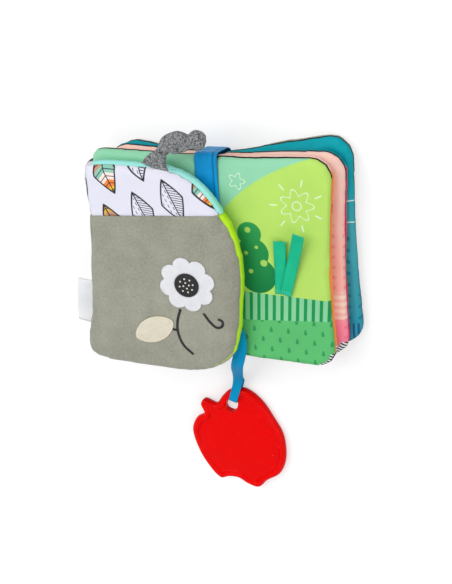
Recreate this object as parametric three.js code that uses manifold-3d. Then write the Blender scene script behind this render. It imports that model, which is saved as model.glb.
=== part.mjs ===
// A soft fold-out book for a baby, lying open on its back with its cover flap shut over the left half.
// Millimetres. +X is the book's right, +Y the top of its pages, +Z the way its front faces.
// While it is built, X = 0 is the gutter, Y = 0 the middle of a page and Z = 0 the surface it lies on.

import * as THREE from "three";
import { mergeVertices } from "three/addons/utils/BufferGeometryUtils.js";
import Module from "manifold-3d";

// Cloth, seams and the gap that every piece keeps to its neighbours
const CLOTH = 0.9;
const SEAM_GAP = 0.35;
const CLEARANCE = 0.35;

// Leaves: three spreads of two padded halves each
const PAGE_HEIGHT = 165;
const LEAF_THICKNESS = 11.8;
const LEAF_GAP = 0.6;
const SEAM_BELOW_FRONT = 3.4;
const LEAF_CORNER = 17;
const GUTTER_CORNER = 10;
const LEAF_CORNER_STEPS = 4;
const GUTTER_CORNER_STEPS = 3;
const LEAF_SIDE_PARTS = 4;
const DRAWN_IN = 0.8;
const GUTTER_WIDTH = 6.4;
const GUTTER_CLOTH = 1.6;
const GUTTER_BELOW_FRONT = 2.4;
const FRONT_VALLEY = 4.6;
const BACK_VALLEY = 2.2;
const VALLEY_REACH = 26;

// A leaf's rounded edges: how far in from its outline each step lies, and how far it drops there
const FRONT_EDGE_STEP = 2.2;
const FRONT_EDGE_DROP = 1.5;
const FRONT_SHOULDER_STEP = 8;
const BACK_WALL_STEP = 0.6;
const BACK_WALL_RISE = 2.9;
const BACK_EDGE_STEP = 3;
const BACK_SHOULDER_STEP = 8;
const LEVEL_SHARE = 0.5;
const FOAM_ROOM = 0.3;

// Each spread's own reach to the left and right of the gutter, and how far it lies turned
const FRONT_LEFT_WIDTH = 88;
const FRONT_RIGHT_WIDTH = 88;
const MIDDLE_LEFT_WIDTH = 83;
const MIDDLE_RIGHT_WIDTH = 94.5;
const BACK_LEFT_WIDTH = 87;
const BACK_RIGHT_WIDTH = 100;
const BACK_TURN_DEG = 2.4;
const BACK_SHIFT_UP = 1.2;
// How far the back spread's top and bottom edges are pulled in at the gutter by the strap
const BACK_GUTTER_DROP = 6.5;

// Strap that goes round all three spreads at the gutter
const STRAP_WIDTH = 18.6;
const STRAP_CENTRE_X = -2;
const STRAP_CLOTH = 0.8;
const STRAP_EDGE_ROOM = 1.1;
const STRAP_FRONT_BEND = 5;
const STRAP_BACK_BEND = 13;
const STRAP_BEND_STEPS = 4;
const STRAP_LIFT = 0.4;

// Cover flap
const FLAP_RISE = 0.5;
const FLAP_THICKNESS = 17.5;
const FLAP_RIM_LIFT = 5.2;
const FLAP_SEAM_BELOW_FRONT = 3.8;
const FLAP_BELLY_SHARE = 0.45;
const FLAP_EDGE_STEP = 4;
const FLAP_EDGE_DROP = 1;
const FLAP_SHOULDER_STEP = 12;
const FLAP_RIM_STEP = 3;
const FLAP_WALL_LIFT = 2.1;
const FLAP_PADDING_ROOM = 0.5;
const PRINT_SEAM_LEFT_X = -88;
const PRINT_SEAM_LEFT_Y = 36.5;
const PRINT_SEAM_RIGHT_X = 12.5;
const PRINT_SEAM_RIGHT_Y = 42;
const CUT_SIZE = 400;
const FLAP_HINGE_TOP_X = -84;
const FLAP_HINGE_BOTTOM_X = -99;
const FLAP_HINGE_TOP_Y = 76;
const FLAP_HINGE_BOTTOM_Y = -78;
const FLAP_HINGE_PARTS = 4;
const FLAP_POINTS = 44;

// The flap's outline from the top of its hinged side, clockwise: a soft, uneven edge
const FLAP_EDGE = [
  [-76, 78.6],
  [-52, 78.2],
  [-27, 76.4],
  [-10.5, 70],
  [1.5, 60.5],
  [11.5, 46],
  [19.5, 31.5],
  [24.4, 13],
  [25.4, -9],
  [23.8, -31],
  [20.4, -52],
  [14.2, -70],
  [1.5, -81],
  [-20, -87.6],
  [-46, -86.8],
  [-68, -86.4],
  [-88, -84.4],
];

// Patches sewn on the flap's plush panel
const PATCH_CLOTH = 0.9;
const PATCH_SIDES = 28;
const WHITE_PATCH_RADIUS = 21;
const WHITE_PATCH_X = -17;
const WHITE_PATCH_Y = -12;
const BLACK_PATCH_RADIUS = 9;
const CREAM_PATCH_LENGTH = 34;
const CREAM_PATCH_WIDTH = 19;
const CREAM_PATCH_X = -46;
const CREAM_PATCH_Y = -51;
const CREAM_PATCH_TURN_DEG = 28;

// What the flap holds inside
const SQUEAKER_RADIUS = 13;
const SQUEAKER_THICKNESS = 6;
const SQUEAKER_SIDES = 20;
const SQUEAKER_X = -55;
const SQUEAKER_Y = -20;
const FILM_CLOTH = 0.4;
const FILM_WIDTH = 52;
const FILM_HEIGHT = 16;
const FILM_X = -44;
const FILM_Y = 54;

// Spine panel on the left, and the blank tag sewn to it
const SPINE_CLOTH = 2.2;
const SPINE_BULGE = 4.2;
const SPINE_STATIONS = 12;
const SPINE_STEPS = 8;
const SPINE_FOOT_SHARE = 0.3;
const SPINE_HEAD_FROM = 0.72;
const SPINE_HEAD_TO = 0.95;
const SPINE_BOTTOM_Y = -71;
const SPINE_TOP_Y = 70;
const SPINE_FOOT_Z = 4.5;
const SPINE_BELOW_SEAM = 1.6;
const TAG_LENGTH = 13;
const TAG_HEIGHT = 36;
const TAG_CLOTH = 0.9;
const TAG_Y = -40;
const TAG_BELOW_FLAP_RIM = 1.5;
const TAG_SEAM_ROOM = 0.6;

// Ribbons, and the two tags of ribbon that are sewn down together on the right-hand page
const RIBBON_WIDTH = 9.5;
const RIBBON_CLOTH = 0.8;
const RIBBON_TAG_WIDTH = 8.6;
const RIBBON_TAG_PARTS = 4;
const LEFT_TAG_LENGTH = 42.5;
const RIGHT_TAG_LENGTH = 52;
const LEFT_TAG_X = 48;
const RIGHT_TAG_X = 51.6;
const TAG_SEAM_Y = -22.2;
const LEFT_TAG_LEAN_DEG = -2;
const RIGHT_TAG_LEAN_DEG = -15;
const LEFT_TAG_CURL = 2.8;
const RIGHT_TAG_CURL = 8;

// Knotted jersey tail in the flap's top seam
const TAIL_SIDES = 12;
const TAIL_BASE_LEAN_DEG = -4.1;
// Stations along the tail: how far its middle rises above the flap's seam, and its half width and depth
const TAIL_ROUTE = [
  { x: -37, y: 78.2, rise: 0, wide: 9.6, deep: 1.2 },
  { x: -36, y: 81.6, rise: 0.4, wide: 7.4, deep: 2.4 },
  { x: -33.6, y: 86, rise: 1.2, wide: 4.8, deep: 4.4 },
  { x: -30, y: 89.8, rise: 2, wide: 5.6, deep: 6.4 },
  { x: -25.4, y: 92.2, rise: 2.4, wide: 7.8, deep: 7.6 },
  { x: -18.4, y: 93.8, rise: 2.6, wide: 8.8, deep: 8.2 },
  { x: -12, y: 93.6, rise: 2.4, wide: 7, deep: 6.8 },
  { x: -7, y: 93.8, rise: 2.2, wide: 5.6, deep: 5.6 },
  { x: -2.6, y: 94.6, rise: 2.2, wide: 6.8, deep: 6.6 },
  { x: 2.2, y: 95.4, rise: 2.2, wide: 5.2, deep: 5 },
];

// Ribbon loop from under the flap's lower right edge, over the page's bottom edge and down to the teether
const LOOP_SEAM_X = 20.5;
const LOOP_SEAM_Y = -55;
const LOOP_STRAND_GAP = 0.5;
// Places along the straight line from the seam to the teether's hole, and heights above the surface
const LOOP_ROUTE = [
  { along: 0, above: 41 },
  { along: 11, above: 40.6 },
  { along: 22, above: 39.8 },
  { along: 31, above: 37.6 },
  { along: 40, above: 31 },
  { along: 50, above: 21.5 },
];
// From there the upper strand goes to the top of the teether's bar and the lower one under it
const LOOP_UPPER_END = [
  { along: 59, above: 14.6 },
  { along: 67, above: 10.2 },
];
const LOOP_LOWER_END = [
  { along: 58, above: 11.6 },
  { along: 65, above: 3.8 },
];

// Teether: a soft apple, lying flat
const TEETHER_X = -3;
const TEETHER_Y = -171;
const TEETHER_THICKNESS = 8;
const TEETHER_RIM = 1.2;
const TEETHER_RIM_SLOPE = 2.6;
const TEETHER_ROUND = 3.4;
const TEETHER_ROUND_STEPS = 5;
const TEETHER_HOLE_X = -6.4;
const TEETHER_HOLE_Y = -138.6;
const TEETHER_SLOT_LENGTH = 8;
const TEETHER_SLOT_SIDE_ROOM = 0.8;
const TEETHER_BAR_WIDTH = 9.2;
const TEETHER_BAR_RECESS = 2;
const LOOP_BEND_ROOM = 0.4;
// Where the loop meets the bar: how far inside its two edges it lies flat, how far it arches over it,
// and how its bend round the bar's end drops, stands out and rises
const BAR_EDGE_ROOM = 1;
const BAR_ARCH = 0.2;
const BAR_BEND_DROP = 1.4;
const BAR_BEND_REACH = 0.4;
const BAR_BEND_RISE = 0.9;
// The apple's outline from the top of its right lobe, clockwise round to the stem and the dip beside it
const APPLE_EDGE = [
  [5.5, 46.6],
  [13, 43.6],
  [22, 35.4],
  [31, 20.6],
  [37.6, 7],
  [39.4, -10.4],
  [37.4, -22.6],
  [32.6, -31.4],
  [22.6, -38.6],
  [14.6, -46.6],
  [5, -44.4],
  [-2.6, -40],
  [-11, -40],
  [-18.2, -42.2],
  [-31.4, -26.4],
  [-39.2, -6],
  [-40, 4.8],
  [-35.6, 14.4],
  [-29, 19.6],
  [-31.4, 28],
  [-27.4, 33],
  [-21.4, 31],
  [-17.6, 30],
  [-12, 37.6],
  [-5.4, 44],
];

// Heights of the stack, from the surface up
const LEAF_PITCH = LEAF_THICKNESS + LEAF_GAP;
const BACK_LEAF_Z = 0;
const MIDDLE_LEAF_Z = BACK_LEAF_Z + LEAF_PITCH;
const FRONT_LEAF_Z = MIDDLE_LEAF_Z + LEAF_PITCH;
const STACK_TOP = FRONT_LEAF_Z + LEAF_THICKNESS;
const FLAP_Z = STACK_TOP + FLAP_RISE;
const FLAP_RIM_Z = FLAP_Z + FLAP_RIM_LIFT;
const FLAP_TOP_Z = FLAP_Z + FLAP_THICKNESS;
const FLAP_SEAM_Z = FLAP_TOP_Z - FLAP_SEAM_BELOW_FRONT;
const SPINE_TOP_Z = FLAP_SEAM_Z - SPINE_BELOW_SEAM;

const deg = THREE.MathUtils.degToRad;
const wasm = await Module();
wasm.setup();

const book = new THREE.Group();

function finish(color, roughness, metalness = 0) {
  return new THREE.MeshStandardMaterial({ color, roughness, metalness });
}

const MINT = finish(0x9ed9b4, 0.8);
const LIME = finish(0xbeeb46, 0.8);
const PEACH = finish(0xebaa96, 0.8);
const CORAL = finish(0xf07882, 0.8);
const CRIMSON = finish(0xdc465a, 0.8);
const TEAL = finish(0x00a5af, 0.8);
const PLUSH = finish(0xa3a292, 0.95);
const PRINT = finish(0xdedeec, 0.85);
const AQUA = finish(0x96e8de, 0.8);
const FOAM = finish(0xf2efe4, 0.9);
const FILM = finish(0xd8dde0, 0.3);
const SQUEAKER = finish(0xeeeeea, 0.5);
const SATIN_BLUE = finish(0x0082c8, 0.4);
const RIBBON_BLUE = finish(0x00a0d7, 0.4);
const RIBBON_GREEN = finish(0x1ec396, 0.4);
const WHITE_SATIN = finish(0xf4f2f0, 0.4);
const BLACK_CLOTH = finish(0x16161a, 0.8);
const CREAM_SATIN = finish(0xe6dcc8, 0.5);
const JERSEY = finish(0x828282, 0.95);
const SILICONE = finish(0xeb0000, 0.3);

function add(name, geometry, material) {
  const mesh = new THREE.Mesh(geometry, material);
  mesh.name = name;
  book.add(mesh);
  return mesh;
}

// A closed body from rings of points that all have the same count: each ring is joined to the next.
// The first and the last ring are closed by a fan to their own middle or, where the ring runs out
// along one side and back along the other, by a strip between the two sides.
function loft(rings, stripEnds = false) {
  const count = rings[0].length;
  const points = rings.flat();
  const last = points.length - count;
  const index = [];
  const quad = (a, b, c, d) => {
    if (points[a].distanceTo(points[c]) <= points[b].distanceTo(points[d])) {
      index.push(a, b, c, a, c, d);
    } else {
      index.push(a, b, d, b, c, d);
    }
  };
  for (let start = 0; start < last; start += count) {
    for (let i = 0; i < count; i++) {
      const next = (i + 1) % count;
      quad(start + i, start + next, start + count + next, start + count + i);
    }
  }
  if (stripEnds) {
    for (let i = 0; i < count / 2 - 1; i++) {
      const across = count - 1 - i;
      quad(i + 1, i, across, across - 1);
      quad(last + i, last + i + 1, last + across - 1, last + across);
    }
  } else {
    for (const start of [0, last]) {
      const hub = new THREE.Vector3();
      for (let i = 0; i < count; i++) hub.addScaledVector(points[start + i], 1 / count);
      points.push(hub);
      for (let i = 0; i < count; i++) {
        const ends = [start + i, start + ((i + 1) % count)];
        if (start === 0) ends.reverse();
        index.push(...ends, points.length - 1);
      }
    }
  }
  return facingOut(new THREE.BufferGeometry().setFromPoints(points).setIndex(index));
}

// Turns a body right side out if its faces point inwards.
function facingOut(geometry) {
  const p = geometry.getAttribute("position");
  const index = geometry.getIndex().array;
  const a = new THREE.Vector3();
  const b = new THREE.Vector3();
  const c = new THREE.Vector3();
  let volume = 0;
  for (let i = 0; i < index.length; i += 3) {
    a.fromBufferAttribute(p, index[i]);
    b.fromBufferAttribute(p, index[i + 1]);
    c.fromBufferAttribute(p, index[i + 2]);
    volume += a.dot(b.cross(c));
  }
  if (volume < 0) {
    for (let i = 0; i < index.length; i += 3) {
      [index[i + 1], index[i + 2]] = [index[i + 2], index[i + 1]];
    }
  }
  return geometry;
}

// Solids for cuts and joins
function solid(geometry) {
  const bare = geometry.index ? geometry.toNonIndexed() : geometry.clone();
  bare.deleteAttribute("normal");
  bare.deleteAttribute("uv");
  const merged = mergeVertices(bare, 1e-4);
  return new wasm.Manifold(
    new wasm.Mesh({
      numProp: 3,
      vertProperties: merged.attributes.position.array,
      triVerts: new Uint32Array(merged.index.array),
    }),
  );
}

function fromSolid(body) {
  const mesh = body.getMesh();
  const geometry = new THREE.BufferGeometry();
  geometry.setAttribute("position", new THREE.BufferAttribute(new Float32Array(mesh.vertProperties), 3));
  geometry.setIndex(new THREE.BufferAttribute(new Uint32Array(mesh.triVerts), 1));
  return geometry;
}

// An outline moved inwards by a distance, each point along its own normal
function inset(outline, distance) {
  const count = outline.length;
  return outline.map((point, i) => {
    const before = outline[(i + count - 1) % count];
    const after = outline[(i + 1) % count];
    const along = after.clone().sub(before).normalize();
    return new THREE.Vector2(point.x + along.y * distance, point.y - along.x * distance);
  });
}

// An outline drawn in towards its own middle by a share of the way
function drawn(outline, share, height) {
  const middle = new THREE.Vector2();
  for (const point of outline) middle.addScaledVector(point, 1 / outline.length);
  return outline.map((point) => {
    const p = point.clone().lerp(middle, share);
    return new THREE.Vector3(p.x, p.y, height);
  });
}

function ringAt(outline, distance, height) {
  return inset(outline, distance).map(
    (p) => new THREE.Vector3(p.x, p.y, typeof height === "function" ? height(p.x, p.y) : height),
  );
}

// The outline of a right half page, clockwise seen from the front, with soft outer corners and sides
// that draw in a little between them. Its top and bottom slope in to the gutter by the drop.
function leafOutline(width, gutterDrop) {
  const half = PAGE_HEIGHT / 2;
  const inner = GUTTER_WIDTH / 2;
  const corner = (cx, cy, radius, from, steps) => {
    const points = [];
    for (let i = 0; i <= steps; i++) {
      const a = deg(from - (90 * i) / steps);
      points.push(new THREE.Vector2(cx + radius * Math.cos(a), cy + radius * Math.sin(a)));
    }
    return points;
  };
  const between = (x0, y0, x1, y1, pullX, pullY, parts) => {
    const points = [];
    for (let i = 1; i < parts; i++) {
      const t = i / parts;
      const pull = DRAWN_IN * Math.sin(Math.PI * t);
      points.push(new THREE.Vector2(x0 + (x1 - x0) * t + pullX * pull, y0 + (y1 - y0) * t + pullY * pull));
    }
    return points;
  };
  const top = half - LEAF_CORNER;
  const outer = width - LEAF_CORNER;
  const near = inner + GUTTER_CORNER;
  const pulled = half - gutterDrop;
  const straight = pulled - GUTTER_CORNER;
  return [
    ...corner(near, straight, GUTTER_CORNER, 180, GUTTER_CORNER_STEPS),
    ...between(near, pulled, outer, half, 0, -1, LEAF_SIDE_PARTS),
    ...corner(outer, top, LEAF_CORNER, 90, LEAF_CORNER_STEPS),
    ...between(width, top, width, -top, -1, 0, LEAF_SIDE_PARTS),
    ...corner(outer, -top, LEAF_CORNER, 0, LEAF_CORNER_STEPS),
    ...between(outer, -half, near, -pulled, 0, 1, LEAF_SIDE_PARTS),
    ...corner(near, -straight, GUTTER_CORNER, 270, GUTTER_CORNER_STEPS),
    ...between(inner, -straight, inner, straight, 0, 0, LEAF_SIDE_PARTS),
  ];
}

// How much of the valley at the gutter is felt at a distance from it
function valley(x) {
  const t = THREE.MathUtils.clamp(1 - (Math.abs(x) - GUTTER_WIDTH / 2) / VALLEY_REACH, 0, 1);
  return t * t * (3 - 2 * t);
}

// Half page: the front cloth, the back cloth that comes round the edge to the seam, and the foam between
// them. The left one is the right one mirrored.
function halfPage(name, width, side, low, options) {
  const outline = leafOutline(width, options.gutterDrop);
  const high = low + LEAF_THICKNESS;
  const seam = high - SEAM_BELOW_FRONT;
  const front = (z) => (x) => z - options.frontValley * valley(x);
  const rear = (z) => (x) => z + options.backValley * valley(x);
  const rim = SEAM_GAP / 2;
  const faceInside = (cloth) => [
    drawn(outline, LEVEL_SHARE, high - cloth),
    ringAt(outline, FRONT_SHOULDER_STEP + cloth, front(high - cloth)),
    ringAt(outline, FRONT_EDGE_STEP + cloth, front(high - FRONT_EDGE_DROP - cloth)),
  ];
  const face = [
    ...faceInside(CLOTH),
    ringAt(outline, CLOTH, front(seam + rim)),
    ringAt(outline, 0, front(seam + rim)),
    ringAt(outline, 0, front(seam + rim + CLOTH)),
    ...faceInside(0).reverse(),
  ];
  const backInside = (cloth) => [
    drawn(outline, LEVEL_SHARE, low + cloth),
    ringAt(outline, BACK_SHOULDER_STEP + cloth, rear(low + cloth)),
    ringAt(outline, BACK_EDGE_STEP + cloth, rear(low + cloth)),
    ringAt(outline, BACK_WALL_STEP + cloth, rear(low + BACK_WALL_RISE + cloth)),
  ];
  const back = [
    ...backInside(CLOTH),
    ringAt(outline, CLOTH, front(seam - rim)),
    ringAt(outline, 0, front(seam - rim)),
    ...backInside(0).reverse(),
  ];
  const room = CLOTH + CLEARANCE + FOAM_ROOM;
  const foam = [
    ...backInside(room),
    ringAt(outline, BACK_WALL_STEP + room, front(seam - rim)),
    ...faceInside(room).reverse(),
  ];
  const place = (rings) => {
    const sided = rings.map((ring) => ring.map((p) => new THREE.Vector3(side * p.x, p.y, p.z)));
    return loft(sided).rotateZ(deg(options.turn)).translate(0, options.shiftUp, 0);
  };
  add(name + "_face", place(face), options.face);
  add(name + "_back", place(back), options.back);
  add(name + "_foam", place(foam), FOAM);
}

function spread(name, low, leftWidth, rightWidth, options) {
  halfPage(name + "_left", leftWidth, -1, low, options);
  halfPage(name + "_right", rightWidth, 1, low, options);
  const length = PAGE_HEIGHT - 2 * (GUTTER_CORNER + options.gutterDrop);
  const strip = new THREE.BoxGeometry(GUTTER_WIDTH - 2 * CLEARANCE, length, GUTTER_CLOTH);
  strip.translate(0, 0, low + LEAF_THICKNESS - options.frontValley - GUTTER_BELOW_FRONT);
  strip.rotateZ(deg(options.turn)).translate(0, options.shiftUp, 0);
  add(name + "_gutter", strip, options.face);
}

spread("back", BACK_LEAF_Z, BACK_LEFT_WIDTH, BACK_RIGHT_WIDTH, {
  frontValley: 0,
  backValley: BACK_VALLEY,
  gutterDrop: BACK_GUTTER_DROP,
  face: TEAL,
  back: PLUSH,
  turn: BACK_TURN_DEG,
  shiftUp: BACK_SHIFT_UP,
});
spread("middle", MIDDLE_LEAF_Z, MIDDLE_LEFT_WIDTH, MIDDLE_RIGHT_WIDTH, {
  frontValley: 0,
  backValley: 0,
  gutterDrop: 0,
  face: PEACH,
  back: CRIMSON,
  turn: 0,
  shiftUp: 0,
});
spread("front", FRONT_LEAF_Z, FRONT_LEFT_WIDTH, FRONT_RIGHT_WIDTH, {
  frontValley: FRONT_VALLEY,
  backValley: 0,
  gutterDrop: 0,
  face: MINT,
  back: CORAL,
  turn: 0,
  shiftUp: 0,
});

// Strap: one loop round the three spreads, in the valleys at the gutter
function strapLoop() {
  const reach = PAGE_HEIGHT / 2 + STRAP_EDGE_ROOM;
  const edgeX = Math.abs(STRAP_CENTRE_X) + STRAP_WIDTH / 2;
  const innerTop = STACK_TOP - FRONT_VALLEY * valley(edgeX) + CLEARANCE;
  const rounded = (grow) => {
    const low = STRAP_LIFT + STRAP_CLOTH - grow;
    const high = innerTop + grow;
    const end = reach + grow;
    const front = STRAP_FRONT_BEND + grow;
    const back = STRAP_BACK_BEND + grow;
    const shape = new THREE.Path();
    shape.moveTo(-end + back, low);
    shape.lineTo(end - back, low);
    shape.absarc(end - back, low + back, back, -Math.PI / 2, 0);
    shape.lineTo(end, high - front);
    shape.absarc(end - front, high - front, front, 0, Math.PI / 2);
    shape.lineTo(-end + front, high);
    shape.absarc(-end + front, high - front, front, Math.PI / 2, Math.PI);
    shape.lineTo(-end, low + back);
    shape.absarc(-end + back, low + back, back, Math.PI, 1.5 * Math.PI);
    return shape;
  };
  const outer = new THREE.Shape(rounded(STRAP_CLOTH).getPoints(STRAP_BEND_STEPS));
  outer.holes.push(new THREE.Path(rounded(0).getPoints(STRAP_BEND_STEPS)));
  const geometry = new THREE.ExtrudeGeometry(outer, { depth: STRAP_WIDTH, bevelEnabled: false });
  geometry.rotateX(Math.PI / 2);
  geometry.rotateZ(Math.PI / 2);
  geometry.translate(STRAP_CENTRE_X - STRAP_WIDTH / 2, 0, 0);
  return geometry;
}
add("gutter_strap", strapLoop(), SATIN_BLUE);

// Flap
function flapOutline() {
  const corners = FLAP_EDGE.map(([x, y]) => new THREE.Vector3(x, y, 0));
  const bottom = new THREE.Vector3(FLAP_HINGE_BOTTOM_X, FLAP_HINGE_BOTTOM_Y, 0);
  const top = new THREE.Vector3(FLAP_HINGE_TOP_X, FLAP_HINGE_TOP_Y, 0);
  for (let i = 0; i <= FLAP_HINGE_PARTS; i++) corners.push(bottom.clone().lerp(top, i / FLAP_HINGE_PARTS));
  const curve = new THREE.CatmullRomCurve3(corners, true, "centripetal");
  const points = [];
  for (let i = 0; i < FLAP_POINTS; i++) {
    const p = curve.getPoint(i / FLAP_POINTS);
    points.push(new THREE.Vector2(p.x, p.y));
  }
  return points;
}
const flapEdge = flapOutline();

function flap() {
  const rim = SEAM_GAP / 2;
  const skin = CLOTH + CLEARANCE;
  const wallZ = FLAP_RIM_Z + FLAP_WALL_LIFT;
  const faceInside = (cloth) => [
    ringAt(flapEdge, FLAP_SHOULDER_STEP + cloth, FLAP_TOP_Z - cloth),
    ringAt(flapEdge, FLAP_EDGE_STEP + cloth, FLAP_TOP_Z - FLAP_EDGE_DROP - cloth),
  ];
  const face = loft([
    ...faceInside(CLOTH),
    ringAt(flapEdge, CLOTH, FLAP_SEAM_Z + rim),
    ringAt(flapEdge, 0, FLAP_SEAM_Z + rim),
    ringAt(flapEdge, 0, FLAP_SEAM_Z + rim + CLOTH),
    ...faceInside(0).reverse(),
  ]);
  const liningInside = (cloth) => [
    drawn(flapEdge, FLAP_BELLY_SHARE, FLAP_Z + cloth),
    ringAt(flapEdge, FLAP_RIM_STEP + cloth, FLAP_RIM_Z + cloth),
    ringAt(flapEdge, cloth, wallZ + cloth),
  ];
  const lining = loft([
    ...liningInside(CLOTH),
    ringAt(flapEdge, CLOTH, FLAP_SEAM_Z - rim),
    ringAt(flapEdge, 0, FLAP_SEAM_Z - rim),
    ...liningInside(0).reverse(),
  ]);
  const room = skin + FLAP_PADDING_ROOM;
  const underFilm = FLAP_TOP_Z - skin - FILM_CLOTH - CLEARANCE;
  const padding = loft([
    drawn(flapEdge, FLAP_BELLY_SHARE, FLAP_Z + skin),
    ringAt(flapEdge, FLAP_RIM_STEP + room, FLAP_RIM_Z + room),
    ringAt(flapEdge, room, wallZ + room),
    ringAt(flapEdge, room, FLAP_SEAM_Z - rim),
    ringAt(flapEdge, FLAP_EDGE_STEP + room, FLAP_TOP_Z - FLAP_EDGE_DROP - room),
    ringAt(flapEdge, FLAP_SHOULDER_STEP + room, underFilm),
  ]);

  // The seam between the printed and the plush panel runs straight across at a slight slope
  const slope = Math.atan2(PRINT_SEAM_RIGHT_Y - PRINT_SEAM_LEFT_Y, PRINT_SEAM_RIGHT_X - PRINT_SEAM_LEFT_X);
  const sideOfSeam = (side) => {
    const box = new THREE.BoxGeometry(CUT_SIZE, CUT_SIZE, CUT_SIZE);
    box.translate(0, (side * (CUT_SIZE + SEAM_GAP)) / 2, 0);
    box.rotateZ(slope).translate(PRINT_SEAM_LEFT_X, PRINT_SEAM_LEFT_Y, FLAP_Z);
    return solid(box);
  };
  add("cover_print_panel", fromSolid(solid(face).intersect(sideOfSeam(1))), PRINT);
  add("cover_plush_panel", fromSolid(solid(face).intersect(sideOfSeam(-1))), PLUSH);
  add("cover_lining_upper", fromSolid(solid(lining).intersect(sideOfSeam(1))), AQUA);
  add("cover_lining_lower", fromSolid(solid(lining).intersect(sideOfSeam(-1))), LIME);

  // Squeaker in a pocket of the padding, which is open under the plush, and crinkle film behind the print
  const cylinder = (radius, height, low) =>
    new THREE.CylinderGeometry(radius, radius, height, SQUEAKER_SIDES)
      .rotateX(Math.PI / 2)
      .translate(SQUEAKER_X, SQUEAKER_Y, low + height / 2);
  const pocketZ = underFilm - SQUEAKER_THICKNESS - CLEARANCE;
  const pocket = cylinder(SQUEAKER_RADIUS + CLEARANCE, FLAP_THICKNESS, pocketZ);
  add("cover_padding", fromSolid(solid(padding).subtract(solid(pocket))), FOAM);
  add("cover_squeaker", cylinder(SQUEAKER_RADIUS, SQUEAKER_THICKNESS, pocketZ + CLEARANCE), SQUEAKER);
  const film = new THREE.BoxGeometry(FILM_WIDTH, FILM_HEIGHT, FILM_CLOTH);
  film.translate(FILM_X, FILM_Y, FLAP_TOP_Z - skin - FILM_CLOTH / 2);
  add("cover_crinkle_film", film, FILM);
}
flap();

// Patches on the plush panel
function disc(radiusX, radiusY) {
  const points = [];
  for (let i = 0; i < PATCH_SIDES; i++) {
    const a = (2 * Math.PI * i) / PATCH_SIDES;
    points.push(new THREE.Vector2(radiusX * Math.cos(a), radiusY * Math.sin(a)));
  }
  return new THREE.ExtrudeGeometry(new THREE.Shape(points), { depth: PATCH_CLOTH, bevelEnabled: false });
}
const PATCH_Z = FLAP_TOP_Z + CLEARANCE;
const white = disc(WHITE_PATCH_RADIUS, WHITE_PATCH_RADIUS);
white.translate(WHITE_PATCH_X, WHITE_PATCH_Y, PATCH_Z);
add("cover_white_patch", white, WHITE_SATIN);
const black = disc(BLACK_PATCH_RADIUS, BLACK_PATCH_RADIUS);
black.translate(WHITE_PATCH_X, WHITE_PATCH_Y, PATCH_Z + PATCH_CLOTH + CLEARANCE);
add("cover_black_patch", black, BLACK_CLOTH);
const cream = disc(CREAM_PATCH_LENGTH / 2, CREAM_PATCH_WIDTH / 2);
cream.rotateZ(deg(CREAM_PATCH_TURN_DEG));
cream.translate(CREAM_PATCH_X, CREAM_PATCH_Y, PATCH_Z);
add("cover_cream_patch", cream, CREAM_SATIN);

// Spine panel: a strip of cloth from the back spread's left edge, round the side, to the flap.
// Its inner side keeps clear of the leaves below and of the flap's edge above.
function flapEdgeX(y) {
  let edge = 0;
  flapEdge.forEach((point, i) => {
    const next = flapEdge[(i + 1) % flapEdge.length];
    const share = (y - point.y) / (next.y - point.y);
    if (share >= 0 && share <= 1) edge = Math.min(edge, THREE.MathUtils.lerp(point.x, next.x, share));
  });
  return edge;
}

function spineInnerX(y, z) {
  const turn = deg(BACK_TURN_DEG);
  const backEdge = -BACK_LEFT_WIDTH / Math.cos(turn) - Math.tan(turn) * y;
  const widest = Math.min(backEdge, -FRONT_LEFT_WIDTH, -MIDDLE_LEFT_WIDTH, flapEdgeX(y));
  const rise = THREE.MathUtils.clamp((z - SPINE_FOOT_Z) / (SPINE_TOP_Z - SPINE_FOOT_Z), 0, 1);
  const foot = THREE.MathUtils.smoothstep(rise, 0, SPINE_FOOT_SHARE);
  const head = THREE.MathUtils.smoothstep(rise, SPINE_HEAD_FROM, SPINE_HEAD_TO);
  const side = THREE.MathUtils.lerp(backEdge, widest, foot) - SPINE_BULGE * Math.sin(Math.PI * rise);
  return THREE.MathUtils.lerp(side, flapEdgeX(y), head) - CLEARANCE;
}

function spinePanel() {
  const rings = [];
  for (let s = 0; s <= SPINE_STATIONS; s++) {
    const y = THREE.MathUtils.lerp(SPINE_BOTTOM_Y, SPINE_TOP_Y, s / SPINE_STATIONS);
    const outer = [];
    const inner = [];
    for (let i = 0; i <= SPINE_STEPS; i++) {
      const z = THREE.MathUtils.lerp(SPINE_FOOT_Z, SPINE_TOP_Z, i / SPINE_STEPS);
      const x = spineInnerX(y, z);
      outer.push(new THREE.Vector3(x - SPINE_CLOTH, y, z));
      inner.push(new THREE.Vector3(x, y, z));
    }
    rings.push([...outer, ...inner.reverse()]);
  }
  return loft(rings, true);
}
add("spine_panel", spinePanel(), PLUSH);

// Blank side tag, standing out from the spine panel beside the flap's edge
const TAG_Z = FLAP_RIM_Z - TAG_BELOW_FLAP_RIM;
const tagTopX = spineInnerX(TAG_Y + TAG_HEIGHT / 2, TAG_Z);
const tagBottomX = spineInnerX(TAG_Y - TAG_HEIGHT / 2, TAG_Z);
const tag = new THREE.BoxGeometry(TAG_LENGTH, TAG_HEIGHT, TAG_CLOTH);
tag.translate(-TAG_LENGTH / 2, 0, 0);
tag.rotateZ(-Math.atan2(tagTopX - tagBottomX, TAG_HEIGHT));
tag.translate((tagTopX + tagBottomX) / 2 - SPINE_CLOTH - TAG_SEAM_ROOM, TAG_Y, TAG_Z);
add("side_tag", tag, WHITE_SATIN);

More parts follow.
